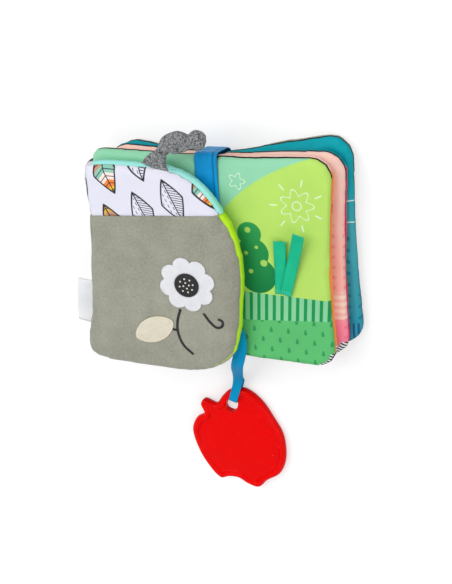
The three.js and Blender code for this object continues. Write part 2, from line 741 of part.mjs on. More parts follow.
// A flat ribbon along a route, with the ribbon's width lying flat
function ribbon(points, width, cloth, across) {
  const curve = new THREE.CatmullRomCurve3(points, false, "centripetal");
  const steps = 2 * (points.length - 1);
  const rings = [];
  for (let i = 0; i <= steps; i++) {
    const p = curve.getPoint(i / steps);
    const t = curve.getTangent(i / steps);
    const side = across.clone().addScaledVector(t, -across.dot(t)).normalize();
    const up = side.clone().cross(t).normalize();
    const at = (s, u) =>
      p
        .clone()
        .addScaledVector(side, (s * width) / 2)
        .addScaledVector(up, (u * cloth) / 2);
    rings.push([at(-1, -1), at(1, -1), at(1, 1), at(-1, 1)]);
  }
  return loft(rings, true);
}

function ribbonTag(name, x, length, leanDeg, low, curl) {
  const points = [];
  for (let i = 0; i <= RIBBON_TAG_PARTS; i++) {
    const t = i / RIBBON_TAG_PARTS;
    const along = length * t;
    points.push(
      new THREE.Vector3(
        x - Math.sin(deg(leanDeg)) * along,
        TAG_SEAM_Y + Math.cos(deg(leanDeg)) * along,
        low + RIBBON_CLOTH / 2 + curl * t * t,
      ),
    );
  }
  const across = new THREE.Vector3(Math.cos(deg(leanDeg)), Math.sin(deg(leanDeg)), 0);
  add(name, ribbon(points, RIBBON_TAG_WIDTH, RIBBON_CLOTH, across), RIBBON_GREEN);
}
const LEFT_TAG_Z = STACK_TOP + CLEARANCE;
const RIGHT_TAG_Z = LEFT_TAG_Z + RIBBON_CLOTH + CLEARANCE;
ribbonTag("ribbon_tag_left", LEFT_TAG_X, LEFT_TAG_LENGTH, LEFT_TAG_LEAN_DEG, LEFT_TAG_Z, LEFT_TAG_CURL);
ribbonTag(
  "ribbon_tag_right",
  RIGHT_TAG_X,
  RIGHT_TAG_LENGTH,
  RIGHT_TAG_LEAN_DEG,
  RIGHT_TAG_Z,
  RIGHT_TAG_CURL,
);

// Knotted tail
function tail() {
  const centres = TAIL_ROUTE.map((s) => new THREE.Vector3(s.x, s.y, FLAP_SEAM_Z + s.rise));
  const curve = new THREE.CatmullRomCurve3(centres, false, "centripetal");
  const lean = deg(TAIL_BASE_LEAN_DEG);
  const baseDirection = new THREE.Vector3(-Math.sin(lean), Math.cos(lean), 0);
  const rings = TAIL_ROUTE.map((station, i) => {
    const t = i === 0 ? baseDirection : curve.getTangent(i / (TAIL_ROUTE.length - 1));
    const side = new THREE.Vector3(0, 0, 1).cross(t).normalize();
    const up = t.clone().cross(side).normalize();
    const ring = [];
    for (let k = 0; k < TAIL_SIDES; k++) {
      const a = (2 * Math.PI * k) / TAIL_SIDES;
      ring.push(
        centres[i]
          .clone()
          .addScaledVector(side, station.wide * Math.cos(a))
          .addScaledVector(up, station.deep * Math.sin(a)),
      );
    }
    return ring;
  });
  return loft(rings);
}
add("knotted_tail", tail(), JERSEY);

// Ribbon loop: one strip that runs down to the teether, through its hole, round its bar and back up
function loopRibbon() {
  const start = new THREE.Vector2(LOOP_SEAM_X, LOOP_SEAM_Y);
  const hole = new THREE.Vector2(TEETHER_HOLE_X, TEETHER_HOLE_Y);
  const length = start.distanceTo(hole);
  const line = hole.clone().sub(start).normalize();
  const at = (along, above) => new THREE.Vector3(start.x + line.x * along, start.y + line.y * along, above);
  const apart = (RIBBON_CLOTH + LOOP_STRAND_GAP) / 2;
  const barEnd = length - TEETHER_SLOT_LENGTH / 2;
  const barStart = barEnd - TEETHER_BAR_WIDTH;
  const over = TEETHER_THICKNESS + CLEARANCE + RIBBON_CLOTH / 2 + LOOP_BEND_ROOM / 2;
  const under = RIBBON_CLOTH / 2 + LOOP_BEND_ROOM;
  const room = CLEARANCE + RIBBON_CLOTH / 2 + LOOP_BEND_ROOM;
  const points = [
    ...LOOP_ROUTE.map((p) => at(p.along, p.above + apart)),
    ...LOOP_UPPER_END.map((p) => at(p.along, p.above)),
    at(barStart + BAR_EDGE_ROOM, over),
    at((barStart + barEnd) / 2, over + BAR_ARCH),
    at(barEnd + room, over - BAR_BEND_DROP),
    at(barEnd + room + BAR_BEND_REACH, TEETHER_THICKNESS / 2),
    at(barEnd + room, under + BAR_BEND_RISE),
    at(barEnd - BAR_EDGE_ROOM, under),
    at(barStart + BAR_EDGE_ROOM, under),
    ...LOOP_LOWER_END.map((p) => at(p.along, p.above)).reverse(),
    ...LOOP_ROUTE.map((p) => at(p.along, p.above - apart)).reverse(),
  ];
  return ribbon(points, RIBBON_WIDTH, RIBBON_CLOTH, new THREE.Vector3(-line.y, line.x, 0));
}
add("teether_ribbon", loopRibbon(), RIBBON_BLUE);

// Teether
function teether() {
  const corners = APPLE_EDGE.map(([x, y]) => new THREE.Vector3(x, y, 0));
  const curve = new THREE.CatmullRomCurve3(corners, true, "centripetal");
  const count = 2 * corners.length;
  const outline = [];
  for (let i = 0; i < count; i++) {
    const p = curve.getPoint(i / count);
    outline.push(new THREE.Vector2(p.x, p.y));
  }
  // A rounded side, then the raised rim and the lower face inside it
  const rings = [];
  for (let i = 0; i <= TEETHER_ROUND_STEPS; i++) {
    const a = Math.PI * (i / TEETHER_ROUND_STEPS - 0.5);
    const height = (TEETHER_THICKNESS / 2) * (1 + Math.sin(a));
    rings.push(ringAt(outline, TEETHER_ROUND * (1 - Math.cos(a)), height));
  }
  rings.push(ringAt(outline, TEETHER_ROUND + TEETHER_RIM_SLOPE, TEETHER_THICKNESS - TEETHER_RIM));
  const body = loft(rings).translate(TEETHER_X, TEETHER_Y, 0);
  // The slot takes the ribbon, and the bar above it is thinner below, where the ribbon passes under it
  const across = RIBBON_WIDTH + 2 * TEETHER_SLOT_SIDE_ROOM;
  const lean = Math.atan2(LOOP_SEAM_X - TEETHER_HOLE_X, TEETHER_HOLE_Y - LOOP_SEAM_Y) - Math.PI;
  const slot = new THREE.BoxGeometry(across, TEETHER_SLOT_LENGTH, 6 * TEETHER_THICKNESS);
  const recess = new THREE.BoxGeometry(across, TEETHER_BAR_WIDTH * 4, 2 * TEETHER_BAR_RECESS);
  recess.translate(0, TEETHER_BAR_WIDTH * 2, 0);
  let result = solid(body);
  for (const cut of [slot, recess]) {
    cut.rotateZ(lean);
    cut.translate(TEETHER_HOLE_X, TEETHER_HOLE_Y, 0);
    result = result.subtract(solid(cut));
  }
  return fromSolid(result);
}
add("teether", teether(), SILICONE);

// The finished book stands with the middle of its footprint at the origin
const bounds = new THREE.Box3().setFromObject(book);
const centre = bounds.getCenter(new THREE.Vector3());
book.position.set(-centre.x, -centre.y, -bounds.min.z);

export default book;
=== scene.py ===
import math

import bmesh
import bpy
import numpy as np
from mathutils import Matrix, Vector, noise
from mathutils.bvhtree import BVHTree
from mathutils.kdtree import KDTree


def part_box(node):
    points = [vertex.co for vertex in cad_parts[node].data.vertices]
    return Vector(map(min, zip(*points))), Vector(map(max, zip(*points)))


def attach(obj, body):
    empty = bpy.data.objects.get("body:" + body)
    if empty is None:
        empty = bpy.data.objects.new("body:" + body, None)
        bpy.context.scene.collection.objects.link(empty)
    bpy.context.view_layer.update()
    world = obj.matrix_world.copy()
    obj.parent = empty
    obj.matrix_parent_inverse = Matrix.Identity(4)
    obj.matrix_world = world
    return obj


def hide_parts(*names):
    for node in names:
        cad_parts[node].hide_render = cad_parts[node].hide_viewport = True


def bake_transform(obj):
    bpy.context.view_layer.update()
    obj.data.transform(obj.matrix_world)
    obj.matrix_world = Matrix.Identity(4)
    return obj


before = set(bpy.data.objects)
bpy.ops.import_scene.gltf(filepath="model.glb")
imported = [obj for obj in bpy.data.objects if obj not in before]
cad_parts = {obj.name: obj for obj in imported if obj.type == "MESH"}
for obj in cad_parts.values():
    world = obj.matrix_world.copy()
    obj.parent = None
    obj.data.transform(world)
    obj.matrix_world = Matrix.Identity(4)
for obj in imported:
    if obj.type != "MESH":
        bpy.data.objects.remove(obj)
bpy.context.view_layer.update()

# Camera: it looks down on the open book from above its upper right corner.
# Its place is worked out from where the gutter lies in the picture and from how far the pages
# seem turned, tilted and rolled.
PHOTO_WIDTH = 452
PHOTO_HEIGHT = 584
FOCAL_PIXELS = 1090
VIEW_TURN = math.radians(20)
VIEW_TILT = math.radians(25)
VIEW_ROLL = math.radians(-4)
VIEW_DISTANCE = 0.7915
GUTTER_AT_U = 216.4
GUTTER_AT_V = 261.0

MM = 0.001
gutter_low, gutter_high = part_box("front_gutter")
GUTTER = (gutter_low + gutter_high) / 2
GUTTER.z = 0
STACK_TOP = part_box("front_left_face")[1].z / MM

toward = Vector((
    math.sin(VIEW_TURN) * math.cos(VIEW_TILT),
    math.sin(VIEW_TILT),
    math.cos(VIEW_TURN) * math.cos(VIEW_TILT),
))
level_right = Vector((0, 1, 0)).cross(toward).normalized()
level_up = toward.cross(level_right)
view_right = level_right * math.cos(VIEW_ROLL) + level_up * math.sin(VIEW_ROLL)
view_up = level_up * math.cos(VIEW_ROLL) - level_right * math.sin(VIEW_ROLL)
per_pixel = VIEW_DISTANCE / FOCAL_PIXELS
aside = view_up * (GUTTER_AT_V - PHOTO_HEIGHT / 2) - view_right * (GUTTER_AT_U - PHOTO_WIDTH / 2)
eye = GUTTER + Vector((0, 0, STACK_TOP * MM)) + toward * VIEW_DISTANCE + aside * per_pixel

camera = bpy.data.objects.new("camera", bpy.data.cameras.new("camera"))
camera.data.lens = FOCAL_PIXELS / PHOTO_HEIGHT * camera.data.sensor_width
facing = Matrix((view_right, view_up, toward)).transposed().to_4x4()
camera.matrix_world = Matrix.Translation(eye) @ facing
bpy.context.scene.collection.objects.link(camera)
bpy.context.scene.camera = camera
bpy.context.scene.view_settings.view_transform = "Standard"


# Materials are written as sums: a Field is one socket, and arithmetic on it adds Math nodes.
# A Finish holds one material, and its node method adds every other kind of node.
class Field:
    def __init__(self, finish, socket):
        self.finish = finish
        self.socket = socket

    def math(self, operation, *others, clamp=False):
        settings = {"operation": operation, "use_clamp": clamp}
        return self.finish.node("ShaderNodeMath", settings, dict(enumerate((self, *others))))

    def __add__(self, other):
        return self.math("ADD", other)

    def __sub__(self, other):
        return self.math("SUBTRACT", other)

    def __rsub__(self, other):
        return (self * -1) + other

    def __mul__(self, other):
        return self.math("MULTIPLY", other)

    def __truediv__(self, other):
        return self.math("DIVIDE", other)

    def __rtruediv__(self, other):
        return self.finish.node("ShaderNodeMath", {"operation": "DIVIDE"}, {0: other, 1: self})

    def __gt__(self, other):
        return self.math("GREATER_THAN", other)

    def __pow__(self, other):
        return self.math("POWER", other)

    def __abs__(self):
        return self.math("ABSOLUTE")

    def within(self, pitch):
        return self.math("FLOORED_MODULO", pitch)

    def clamped(self):
        return self.math("ADD", 0.0, clamp=True)

    def below(self, edge=0.0, soft=0.35):
        """1 where the value is under the edge and 0 over it, with a soft change between."""
        return ((edge - self) / soft + 0.5).clamped()

    __radd__ = __add__
    __rmul__ = __mul__


class Finish:
    def __init__(self, slot, name=None):
        self.slot = slot
        self.material = bpy.data.materials.new(name or slot + "_finish")
        self.material.use_nodes = True
        self.tree = self.material.node_tree
        self.tree.nodes.clear()

    def node(self, kind, settings=None, sockets=None, output=0):
        node = self.tree.nodes.new(kind)
        for name, value in (settings or {}).items():
            if name == "stops":
                fill_ramp(node.color_ramp, value)
            else:
                setattr(node, name, value)
        for name, value in (sockets or {}).items():
            if isinstance(value, Field):
                self.tree.links.new(value.socket, node.inputs[name])
            else:
                node.inputs[name].default_value = value
        return Field(self, node.outputs[output])

    def mix(self, factor, low, high):
        return self.node("ShaderNodeMix", {"data_type": "RGBA"}, {0: factor, 6: low, 7: high}, output=2)

    def place(self):
        """X, Y and Z in millimetres from the gutter, the middle of the page and the floor."""
        coordinates = self.node("ShaderNodeTexCoord", output=3)
        sized = self.node(
            "ShaderNodeMapping",
            None,
            {"Vector": coordinates, "Location": -GUTTER / MM, "Scale": (1 / MM, 1 / MM, 1 / MM)},
        )
        return self.split(sized)

    def split(self, vector):
        return [self.node("ShaderNodeSeparateXYZ", None, {0: vector}, output=i) for i in range(3)]

    def noise(self, size, detail=2.0, stretch=(1, 1, 1), seed=0.0):
        """Smooth noise from 0 to 1, with blotches of about that size in millimetres."""
        coordinates = self.node("ShaderNodeTexCoord", output=3)
        scale = [s / (size * MM) for s in stretch]
        placed = self.node("ShaderNodeMapping", None, {"Vector": coordinates, "Scale": scale})
        sockets = {"Vector": placed, "W": seed, "Scale": 1.0, "Detail": detail}
        return self.node("ShaderNodeTexNoise", {"noise_dimensions": "4D"}, sockets)

    def bump(self, height, depth, strength=1.0, normal=None):
        """A surface raised by the height, 0 to 1, times the depth in millimetres."""
        sockets = {"Height": height, "Distance": depth * MM, "Strength": strength}
        if normal is not None:
            sockets["Normal"] = normal
        return self.node("ShaderNodeBump", None, sockets)

    def surface(self, color, roughness, normal=None, **constants):
        sockets = {"Base Color": color, "Roughness": roughness}
        if normal is not None:
            sockets["Normal"] = normal
        sockets.update({name.replace("_", " "): value for name, value in constants.items()})
        self.shade(self.node("ShaderNodeBsdfPrincipled", None, sockets))
        return self

    def shade(self, shader):
        output = self.tree.nodes.new("ShaderNodeOutputMaterial")
        self.tree.links.new(shader.socket, output.inputs["Surface"])

    def dress(self, *pieces):
        """Gives the pieces this finish."""
        for piece in pieces:
            piece.data.materials.clear()
            piece.data.materials.append(self.material)


def fill_ramp(ramp, stops):
    while len(ramp.elements) < len(stops):
        ramp.elements.new(1.0)
    for element, (position, color) in zip(ramp.elements, stops):
        element.position = position
        element.color = color


def paint(red, green, blue):
    """A printed or dyed colour as it is mixed on a screen, from 0 to 255, as Blender wants it."""
    linear = []
    for value in (red, green, blue):
        share = value / 255
        linear.append(share / 12.92 if share <= 0.04045 else ((share + 0.055) / 1.055) ** 2.4)
    return (*linear, 1.0)


# Floor and light: a white table, a broad soft light from the upper left, a smaller one from the
# right, and even light from all round. The table is lit to white and keeps the book's shadow.
FLOOR_SIZE = 6.0
FLOOR_BELOW = 0.0002
TABLE_COLOR = (196, 196, 196)
TABLE_GLOW = 0.5
AMBIENT = 0.62
MAIN_LIGHT = (Vector((-0.55, 0.65, 1.25)), 1.1, 10.5)
SIDE_LIGHT = (Vector((0.95, -0.35, 0.95)), 0.7, 3.0)
SMALL_LIGHT = (Vector((0.35, 1.15, 1.0)), 0.14, 1.6)

bpy.ops.mesh.primitive_plane_add(size=FLOOR_SIZE, location=(0, 0, -FLOOR_BELOW))
floor = bpy.context.object
floor.name = "floor"
table_top = Finish(None, "table_top")
rays = [table_top.node("ShaderNodeLightPath", output=i) for i in (0, 3, 6)]
seen = (rays[0] + rays[1] + rays[2]).math("MINIMUM", 1.0)
lit = table_top.node("ShaderNodeBsdfDiffuse", None, {"Color": paint(*TABLE_COLOR)})
glow = table_top.node("ShaderNodeEmission", None, {"Color": (1, 1, 1, 1), "Strength": seen * TABLE_GLOW})
table_top.shade(table_top.node("ShaderNodeAddShader", None, {0: lit, 1: glow}))
floor.data.materials.append(table_top.material)

world = bpy.data.worlds.new("room")
bpy.context.scene.world = world
world.use_nodes = True
background = world.node_tree.nodes["Background"]
background.inputs["Color"].default_value = (1, 1, 1, 1)
path_kind = world.node_tree.nodes.new("ShaderNodeLightPath")
either = world.node_tree.nodes.new("ShaderNodeMath")
either.operation = "MAXIMUM"
world.node_tree.links.new(path_kind.outputs["Is Camera Ray"], either.inputs[0])
world.node_tree.links.new(path_kind.outputs["Is Transmission Ray"], either.inputs[1])
level = world.node_tree.nodes.new("ShaderNodeMapRange")
level.inputs["To Min"].default_value = AMBIENT
world.node_tree.links.new(either.outputs[0], level.inputs["Value"])
world.node_tree.links.new(level.outputs[0], background.inputs["Strength"])

for name, (place, size, power) in {
    "main_light": MAIN_LIGHT, "side_light": SIDE_LIGHT, "small_light": SMALL_LIGHT,
}.items():
    lamp = bpy.data.objects.new(name, bpy.data.lights.new(name, "AREA"))
    lamp.data.size = size
    lamp.data.energy = power
    lamp.location = GUTTER + place
    lamp.rotation_euler = place.to_track_quat("Z", "Y").to_euler()
    bpy.context.scene.collection.objects.link(lamp)


# Teether: a soft red apple in one moulding, with a raised rim round a sunk face, small raised dots
# and a slot below its top, which leaves a bar for the ribbon. It is glossy silicone.
TEETHER_X = -3
TEETHER_Y = -171
TEETHER_THICKNESS = 8
TEETHER_RIM = 1.2
TEETHER_LIP = 1.4
TEETHER_RIM_SLOPE = 2.6
TEETHER_ROUND = 3.4
TEETHER_ROUND_STEPS = 12
TEETHER_HOLE_X = -6.4
TEETHER_HOLE_Y = -138.6
TEETHER_SLOT_LENGTH = 8
TEETHER_RECESS_WIDTH = 11.1
TEETHER_EYE_WIDTH = 9.4
TEETHER_EYE_LENGTH = 12.6
TEETHER_BAR_WIDTH = 9.2
TEETHER_BAR_RECESS = 2
TEETHER_GRAIN = 0.55
TEETHER_DOT_RADIUS = 1.15
TEETHER_DOT_SUNK = 0.3
TEETHER_GROOVE = 0.9
TEETHER_GROOVE_WIDTH = 0.8
TEETHER_CROWN = [(0.35, 0.25), (0.7, 0.45)]
TEETHER_EYE_SQUARE = 0.75
TEETHER_DOTS = [
    (6, 24), (0, 14), (12, 11), (-12, 9), (22, 3), (14, -6), (28, -14), (6, -16), (18, -20), (-4, 3),
]
APPLE_EDGE = [
    (5.5, 46.6), (13, 43.6), (22, 35.4), (31, 20.6), (37.6, 7), (39.4, -10.4), (37.4, -22.6), (32.6, -31.4),
    (22.6, -38.6), (14.6, -46.6), (5, -44.4), (-2.6, -40), (-11, -40), (-18.2, -42.2), (-31.4, -26.4),
    (-39.2, -6), (-40, 4.8), (-35.6, 14.4), (-29, 19.6), (-31.4, 28), (-27.4, 33), (-21.4, 31), (-17.6, 30),
    (-12, 37.6), (-5.4, 44),
]
LOOP_SEAM_X = 20.5
LOOP_SEAM_Y = -55


def smooth_path(corners, steps, closed=False):
    """Points along a centripetal Catmull-Rom curve through the corners."""
    corners = np.array(corners, float)
    count = len(corners)
    found = []
    for i in range(count if closed else count - 1):
        ends = [i - 1, i, i + 1, i + 2]
        if closed:
            p = [corners[k % count] for k in ends]
        else:
            p = [corners[min(max(k, 0), count - 1)] for k in ends]
            if ends[0] < 0:
                p[0] = 2 * p[1] - p[2]
            if ends[3] >= count:
                p[3] = 2 * p[2] - p[1]
        gaps = [max(np.linalg.norm(p[k + 1] - p[k]) ** 0.5, 1e-4) for k in range(3)]
        leave, arrive = (
            ((p[k] - p[k - 1]) / gaps[k - 1] - (p[k + 1] - p[k - 1]) / (gaps[k - 1] + gaps[k])
             + (p[k + 1] - p[k]) / gaps[k]) * gaps[1]
            for k in (1, 2)
        )
        for s in range(steps):
            t = s / steps
            found.append(
                (2 * t**3 - 3 * t**2 + 1) * p[1]
                + (t**3 - 2 * t**2 + t) * leave
                + (3 * t**2 - 2 * t**3) * p[2]
                + (t**3 - t**2) * arrive
            )
    if not closed:
        found.append(corners[-1])
    return np.array(found)


def unit(rows):
    return rows / np.maximum(np.linalg.norm(rows, axis=1), 1e-9)[:, None]


def moved_in(outline, distance):
    """A closed outline, each point moved along its own normal; a positive distance moves it inwards."""
    along = unit(np.roll(outline, -1, axis=0) - np.roll(outline, 1, axis=0))
    area = np.sum(outline[:, 0] * np.roll(outline[:, 1], -1) - np.roll(outline[:, 0], -1) * outline[:, 1])
    side = 1 if area > 0 else -1
    return outline + side * distance * np.stack([-along[:, 1], along[:, 0]], axis=1)


def at_height(outline, z):
    return np.column_stack([outline, np.full(len(outline), float(z))])


def toward_middle(outline, share, z):
    return at_height(outline + (outline.mean(axis=0) - outline) * share, z)


def rotated(outline, turn, x, y):
    c, s = math.cos(turn), math.sin(turn)
    u, v = outline[:, 0], outline[:, 1]
    return np.stack([u * c - v * s + x, u * s + v * c + y], axis=1)


def linked(name, mesh):
    piece = bpy.data.objects.new(name, mesh)
    bpy.context.scene.collection.objects.link(piece)
    return piece


def piece_from(name, shell):
    """A new object from a bmesh, which is freed."""
    mesh = bpy.data.meshes.new(name)
    shell.to_mesh(mesh)
    shell.free()
    mesh.shade_smooth()
    return linked(name, mesh)


def shell_of(*meshes):
    """A bmesh that holds these meshes side by side."""
    shell = bmesh.new()
    for mesh in meshes:
        shell.from_mesh(mesh)
    return shell


def new_piece(name, points, faces):
    """A mesh object from points in millimetres from the gutter, with its faces turned outwards."""
    mesh = bpy.data.meshes.new(name)
    mesh.from_pydata([GUTTER + Vector(p) * MM for p in np.array(points, float).tolist()], [], faces)
    shell = shell_of(mesh)
    bpy.data.meshes.remove(mesh)
    bmesh.ops.recalc_face_normals(shell, faces=shell.faces)
    return piece_from(name, shell)


def banded(rings, count, closed=False):
    """The faces between neighbouring rings of as many points each."""
    faces = []
    for ring in range(rings if closed else rings - 1):
        start, after = ring * count, (ring + 1) % rings * count
        for i in range(count):
            j = (i + 1) % count
            faces.append((start + i, start + j, after + j, after + i))
    return faces


def lofted(name, rings):
    """A closed body from rings of as many points each, joined one to the next and capped at both ends."""
    count = len(rings[0])
    faces = banded(len(rings), count)
    last = (len(rings) - 1) * count
    faces.append(tuple(reversed(range(count))))
    faces.append(tuple(range(last, last + count)))
    return new_piece(name, np.concatenate(rings), faces)


def settle(piece):
    """Applies the piece's modifiers to its mesh."""
    graph = bpy.context.evaluated_depsgraph_get()
    result = bpy.data.meshes.new_from_object(piece.evaluated_get(graph))
    piece.modifiers.clear()
    piece.data = result
    result.shade_smooth()
    return piece


def modified(piece, kind, **settings):
    """The piece with one modifier, so set, applied to its mesh."""
    modifier = piece.modifiers.new(kind.lower(), kind)
    for name, value in settings.items():
        setattr(modifier, name, value)
    return settle(piece)


def remeshed(piece, grain):
    return modified(piece, "REMESH", mode="VOXEL", voxel_size=grain * MM, use_smooth_shade=True)


def joined(name, pieces):
    """Several pieces made one object."""
    shell = shell_of(*(piece.data for piece in pieces))
    for piece in pieces:
        bpy.data.objects.remove(piece)
    return piece_from(name, shell)


def fused(name, pieces, grain):
    """Several pieces made one object with one even skin, a little smoothed."""
    return modified(remeshed(joined(name, pieces), grain), "SMOOTH", factor=0.5, iterations=2)


def cut_out(piece, outline, low, high):
    """Cuts a hole of this outline through the piece, between two heights."""
    cutter = lofted("cutter", [at_height(outline, z) for z in (low, high)])
    modified(piece, "BOOLEAN", operation="DIFFERENCE", solver="EXACT", object=cutter)
    bpy.data.objects.remove(cutter)


def ball(name, radius, x, y, z, sides=10):
    rings = []
    for i in range(1, sides):
        a = math.pi * i / sides
        reach, level = radius * math.sin(a), z - radius * math.cos(a)
        ring = [
            (x + reach * math.cos(b), y + reach * math.sin(b), level)
            for b in np.linspace(0, 2 * math.pi, 12, endpoint=False)
        ]
        rings.append(np.array(ring))
    return lofted(name, rings)


def make_teether():
    outline = smooth_path(APPLE_EDGE, 8, closed=True) + (TEETHER_X, TEETHER_Y)
    rings = []
    for i in range(TEETHER_ROUND_STEPS + 1):
        a = math.pi * (i / TEETHER_ROUND_STEPS - 0.5)
        height = TEETHER_THICKNESS / 2 * (1 + math.sin(a))
        rings.append(at_height(moved_in(outline, TEETHER_ROUND * (1 - math.cos(a))), height))
    sunk = TEETHER_THICKNESS - TEETHER_RIM
    rings.append(at_height(moved_in(outline, TEETHER_ROUND + TEETHER_LIP), TEETHER_THICKNESS))
    foot = TEETHER_ROUND + TEETHER_RIM_SLOPE
    rings.append(at_height(moved_in(outline, foot), sunk - TEETHER_GROOVE))
    rings.append(at_height(moved_in(outline, foot + TEETHER_GROOVE_WIDTH), sunk - TEETHER_GROOVE))
    rings += [toward_middle(moved_in(outline, foot), share, sunk + rise) for share, rise in TEETHER_CROWN]
    body = lofted("apple", rings)
    lean = math.atan2(LOOP_SEAM_X - TEETHER_HOLE_X, TEETHER_HOLE_Y - LOOP_SEAM_Y) - math.pi
    lower = (TEETHER_EYE_LENGTH - TEETHER_SLOT_LENGTH) / 2
    angles = np.linspace(0, 2 * math.pi, 40, endpoint=False)
    round_x, round_y = (
        np.sign(way) * np.abs(way) ** TEETHER_EYE_SQUARE for way in (np.cos(angles), np.sin(angles))
    )
    eye = np.stack([TEETHER_EYE_WIDTH / 2 * round_x, TEETHER_EYE_LENGTH / 2 * round_y - lower], axis=1)
    cut_out(body, rotated(eye, lean, TEETHER_HOLE_X, TEETHER_HOLE_Y), -20, 20)
    under = TEETHER_BAR_WIDTH * 2
    recess = np.array([(-1, 0), (1, 0), (1, 2), (-1, 2)]) * (TEETHER_RECESS_WIDTH / 2, under)
    recess = rotated(recess, lean, TEETHER_HOLE_X, TEETHER_HOLE_Y)
    cut_out(body, recess, -TEETHER_BAR_RECESS, TEETHER_BAR_RECESS)
    dot_height = sunk - TEETHER_DOT_RADIUS * TEETHER_DOT_SUNK
    dots = [
        ball("dot", TEETHER_DOT_RADIUS, TEETHER_X + x, TEETHER_Y + y, dot_height) for x, y in TEETHER_DOTS
    ]
    return fused("teether_apple", [body, *dots], TEETHER_GRAIN)


def silicone():
    finish = Finish("red_silicone")
    cloud = finish.noise(9, 3)
    # Painted light and shade: by height, the red is mixed lighter towards the top and darker towards the
    # floor.
    edge = (finish.place()[2] / TEETHER_THICKNESS).clamped()
    color = finish.mix(cloud * 0.5 + edge * 0.4, paint(214, 0, 0), paint(246, 0, 0))
    fine = finish.noise(0.9, 2)
    broad = finish.noise(14, 2)
    normal = finish.bump(fine * 0.2 + broad, 0.5, 0.25)
    gloss = {"Coat_Weight": 0.1, "Coat_Roughness": 0.06, "Specular_IOR_Level": 0.05}
    return finish.surface(color, cloud * 0.12 + 0.2, normal, **gloss)


teether = make_teether()
silicone().dress(teether)
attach(teether, "teether")
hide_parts("teether")


# Half pages: two for each of the three spreads. Each is a foam pad between a printed front cloth and
# a back cloth that wraps round the edge, with a thread in the seam where the two cloths meet.
PAGE_HEIGHT = 165
LEAF_CORNER = 17
GUTTER_CORNER = 5.5
DRAWN_IN = 0.8
GUTTER_WIDTH = 6.4
WIDEST_BELOW_FRONT = 3.4
FRONT_VALLEY = 1.8
BACK_VALLEY = 2.2
VALLEY_REACH = 26
BACK_TURN = math.radians(2.4)
BACK_SHIFT_UP = 1.2
PAGE_GRAIN = 3.2
PAGE_SWELL_CAP = 2.6
PAGE_SHRINK = 0.3
SIDEWAYS_SHARE = 0.25
SEAM_GROOVE = 0.9
SEAM_GROOVE_WIDTH = 1.1
SEAM_HALF_GAP = 0.12
PUCKER_DEPTH = 0.5
PUCKER_LENGTH = 5.5
PUCKER_REACH = 6.5
THREAD_RADIUS = 0.74
TAPER_REACH = 90
STRAP_PULL = 0.02
STRAP_PULL_BEHIND = 0.035
STRAP_PULL_REACH = 50
STRAP_PULL_END = 58
SEAM_CUTS = (-2.4, -1, 0, 1, 2.4)
PAD_SOFT = 0.8
PAD_CLOTH = {
    "quality": 6, "mass": 0.2, "tension_stiffness": 12, "compression_stiffness": 12, "bending_stiffness": 0.4,
    "use_pressure": True, "uniform_pressure_force": 4,
}
PAD_FRAMES = 20


def eased(share):
    """A share from 0 to 1 that starts and ends gently."""
    return share * share * (3 - 2 * share)


def pulled_in(points, taper=0.0):
    """The strap draws the pages' tops and bottoms in a little beside the gutter.
    The taper lifts the foot of the right half's outer edge."""
    outward = np.clip(points[:, 0] / TAPER_REACH, 0, 1)
    points[:, 1] = np.where(points[:, 1] < 0, points[:, 1] * (1 - taper * outward), points[:, 1])
    share = np.clip((STRAP_PULL_END - np.abs(points[:, 0])) / STRAP_PULL_REACH, 0, 1)
    behind = np.clip(1 - points[:, 2] / STACK_TOP, 0, 1)
    points[:, 1] *= 1 - (STRAP_PULL + STRAP_PULL_BEHIND * behind) * eased(share)
    return points


def leaf_outline(width, gutter_drop, rounding=LEAF_CORNER, inner=GUTTER_WIDTH / 2):
    """The outline of a right half page, with soft outer corners and sides that draw in between them.
    Its top and bottom slope in to the gutter by the drop."""
    half = PAGE_HEIGHT / 2
    pulled = half - gutter_drop
    points = []

    def corner(x, y, radius, start):
        for a in np.linspace(start, start - math.pi / 2, 10):
            points.append((x + radius * math.cos(a), y + radius * math.sin(a)))

    def side(x0, y0, x1, y1, pull_x, pull_y, parts):
        for t in np.linspace(0, 1, parts + 1)[1:-1]:
            pull = DRAWN_IN * math.sin(math.pi * t)
            points.append((x0 + (x1 - x0) * t + pull_x * pull, y0 + (y1 - y0) * t + pull_y * pull))

    outer = width - rounding
    near = inner + GUTTER_CORNER
    top = half - rounding
    corner(near, pulled - GUTTER_CORNER, GUTTER_CORNER, math.pi)
    side(near, pulled, outer, half, 0, -1, 20)
    corner(outer, top, rounding, math.pi / 2)
    side(width, top, width, -top, -1, 0, 40)
    corner(outer, -top, rounding, 0)
    side(outer, -half, near, -pulled, 0, 1, 20)
    corner(near, GUTTER_CORNER - pulled, GUTTER_CORNER, -math.pi / 2)
    side(inner, GUTTER_CORNER - pulled, inner, pulled - GUTTER_CORNER, 0, 0, 40)
    return np.array(points)


def inflated(piece, cap):
    """The pad's skin blown up a little as its foam does, with no point moved further than the cap."""
    rest = vectors(piece, "co")
    skin = piece.modifiers.new("skin", "CLOTH")
    for name, value in PAD_CLOTH.items():
        setattr(skin.settings, name, value)
    skin.settings.effector_weights.gravity = 0
    skin.point_cache.frame_end = PAD_FRAMES
    for step in range(1, PAD_FRAMES + 1):
        bpy.context.scene.frame_set(step)
    settle(piece)
    bpy.context.scene.frame_set(1)
    shift = (vectors(piece, "co") - rest) * (SIDEWAYS_SHARE, SIDEWAYS_SHARE, 1)
    length = np.maximum(np.linalg.norm(shift, axis=1), 1e-9)
    limit = cap * MM
    shift *= (limit * np.tanh(length / limit) / length)[:, None]
    piece.data.vertices.foreach_set("co", (rest + shift).ravel())
    return modified(piece, "SUBSURF", levels=1, render_levels=1)


def vectors(piece, kind):
    found = np.zeros(len(piece.data.vertices) * 3)
    piece.data.vertices.foreach_get(kind, found)
    return found.reshape(-1, 3)


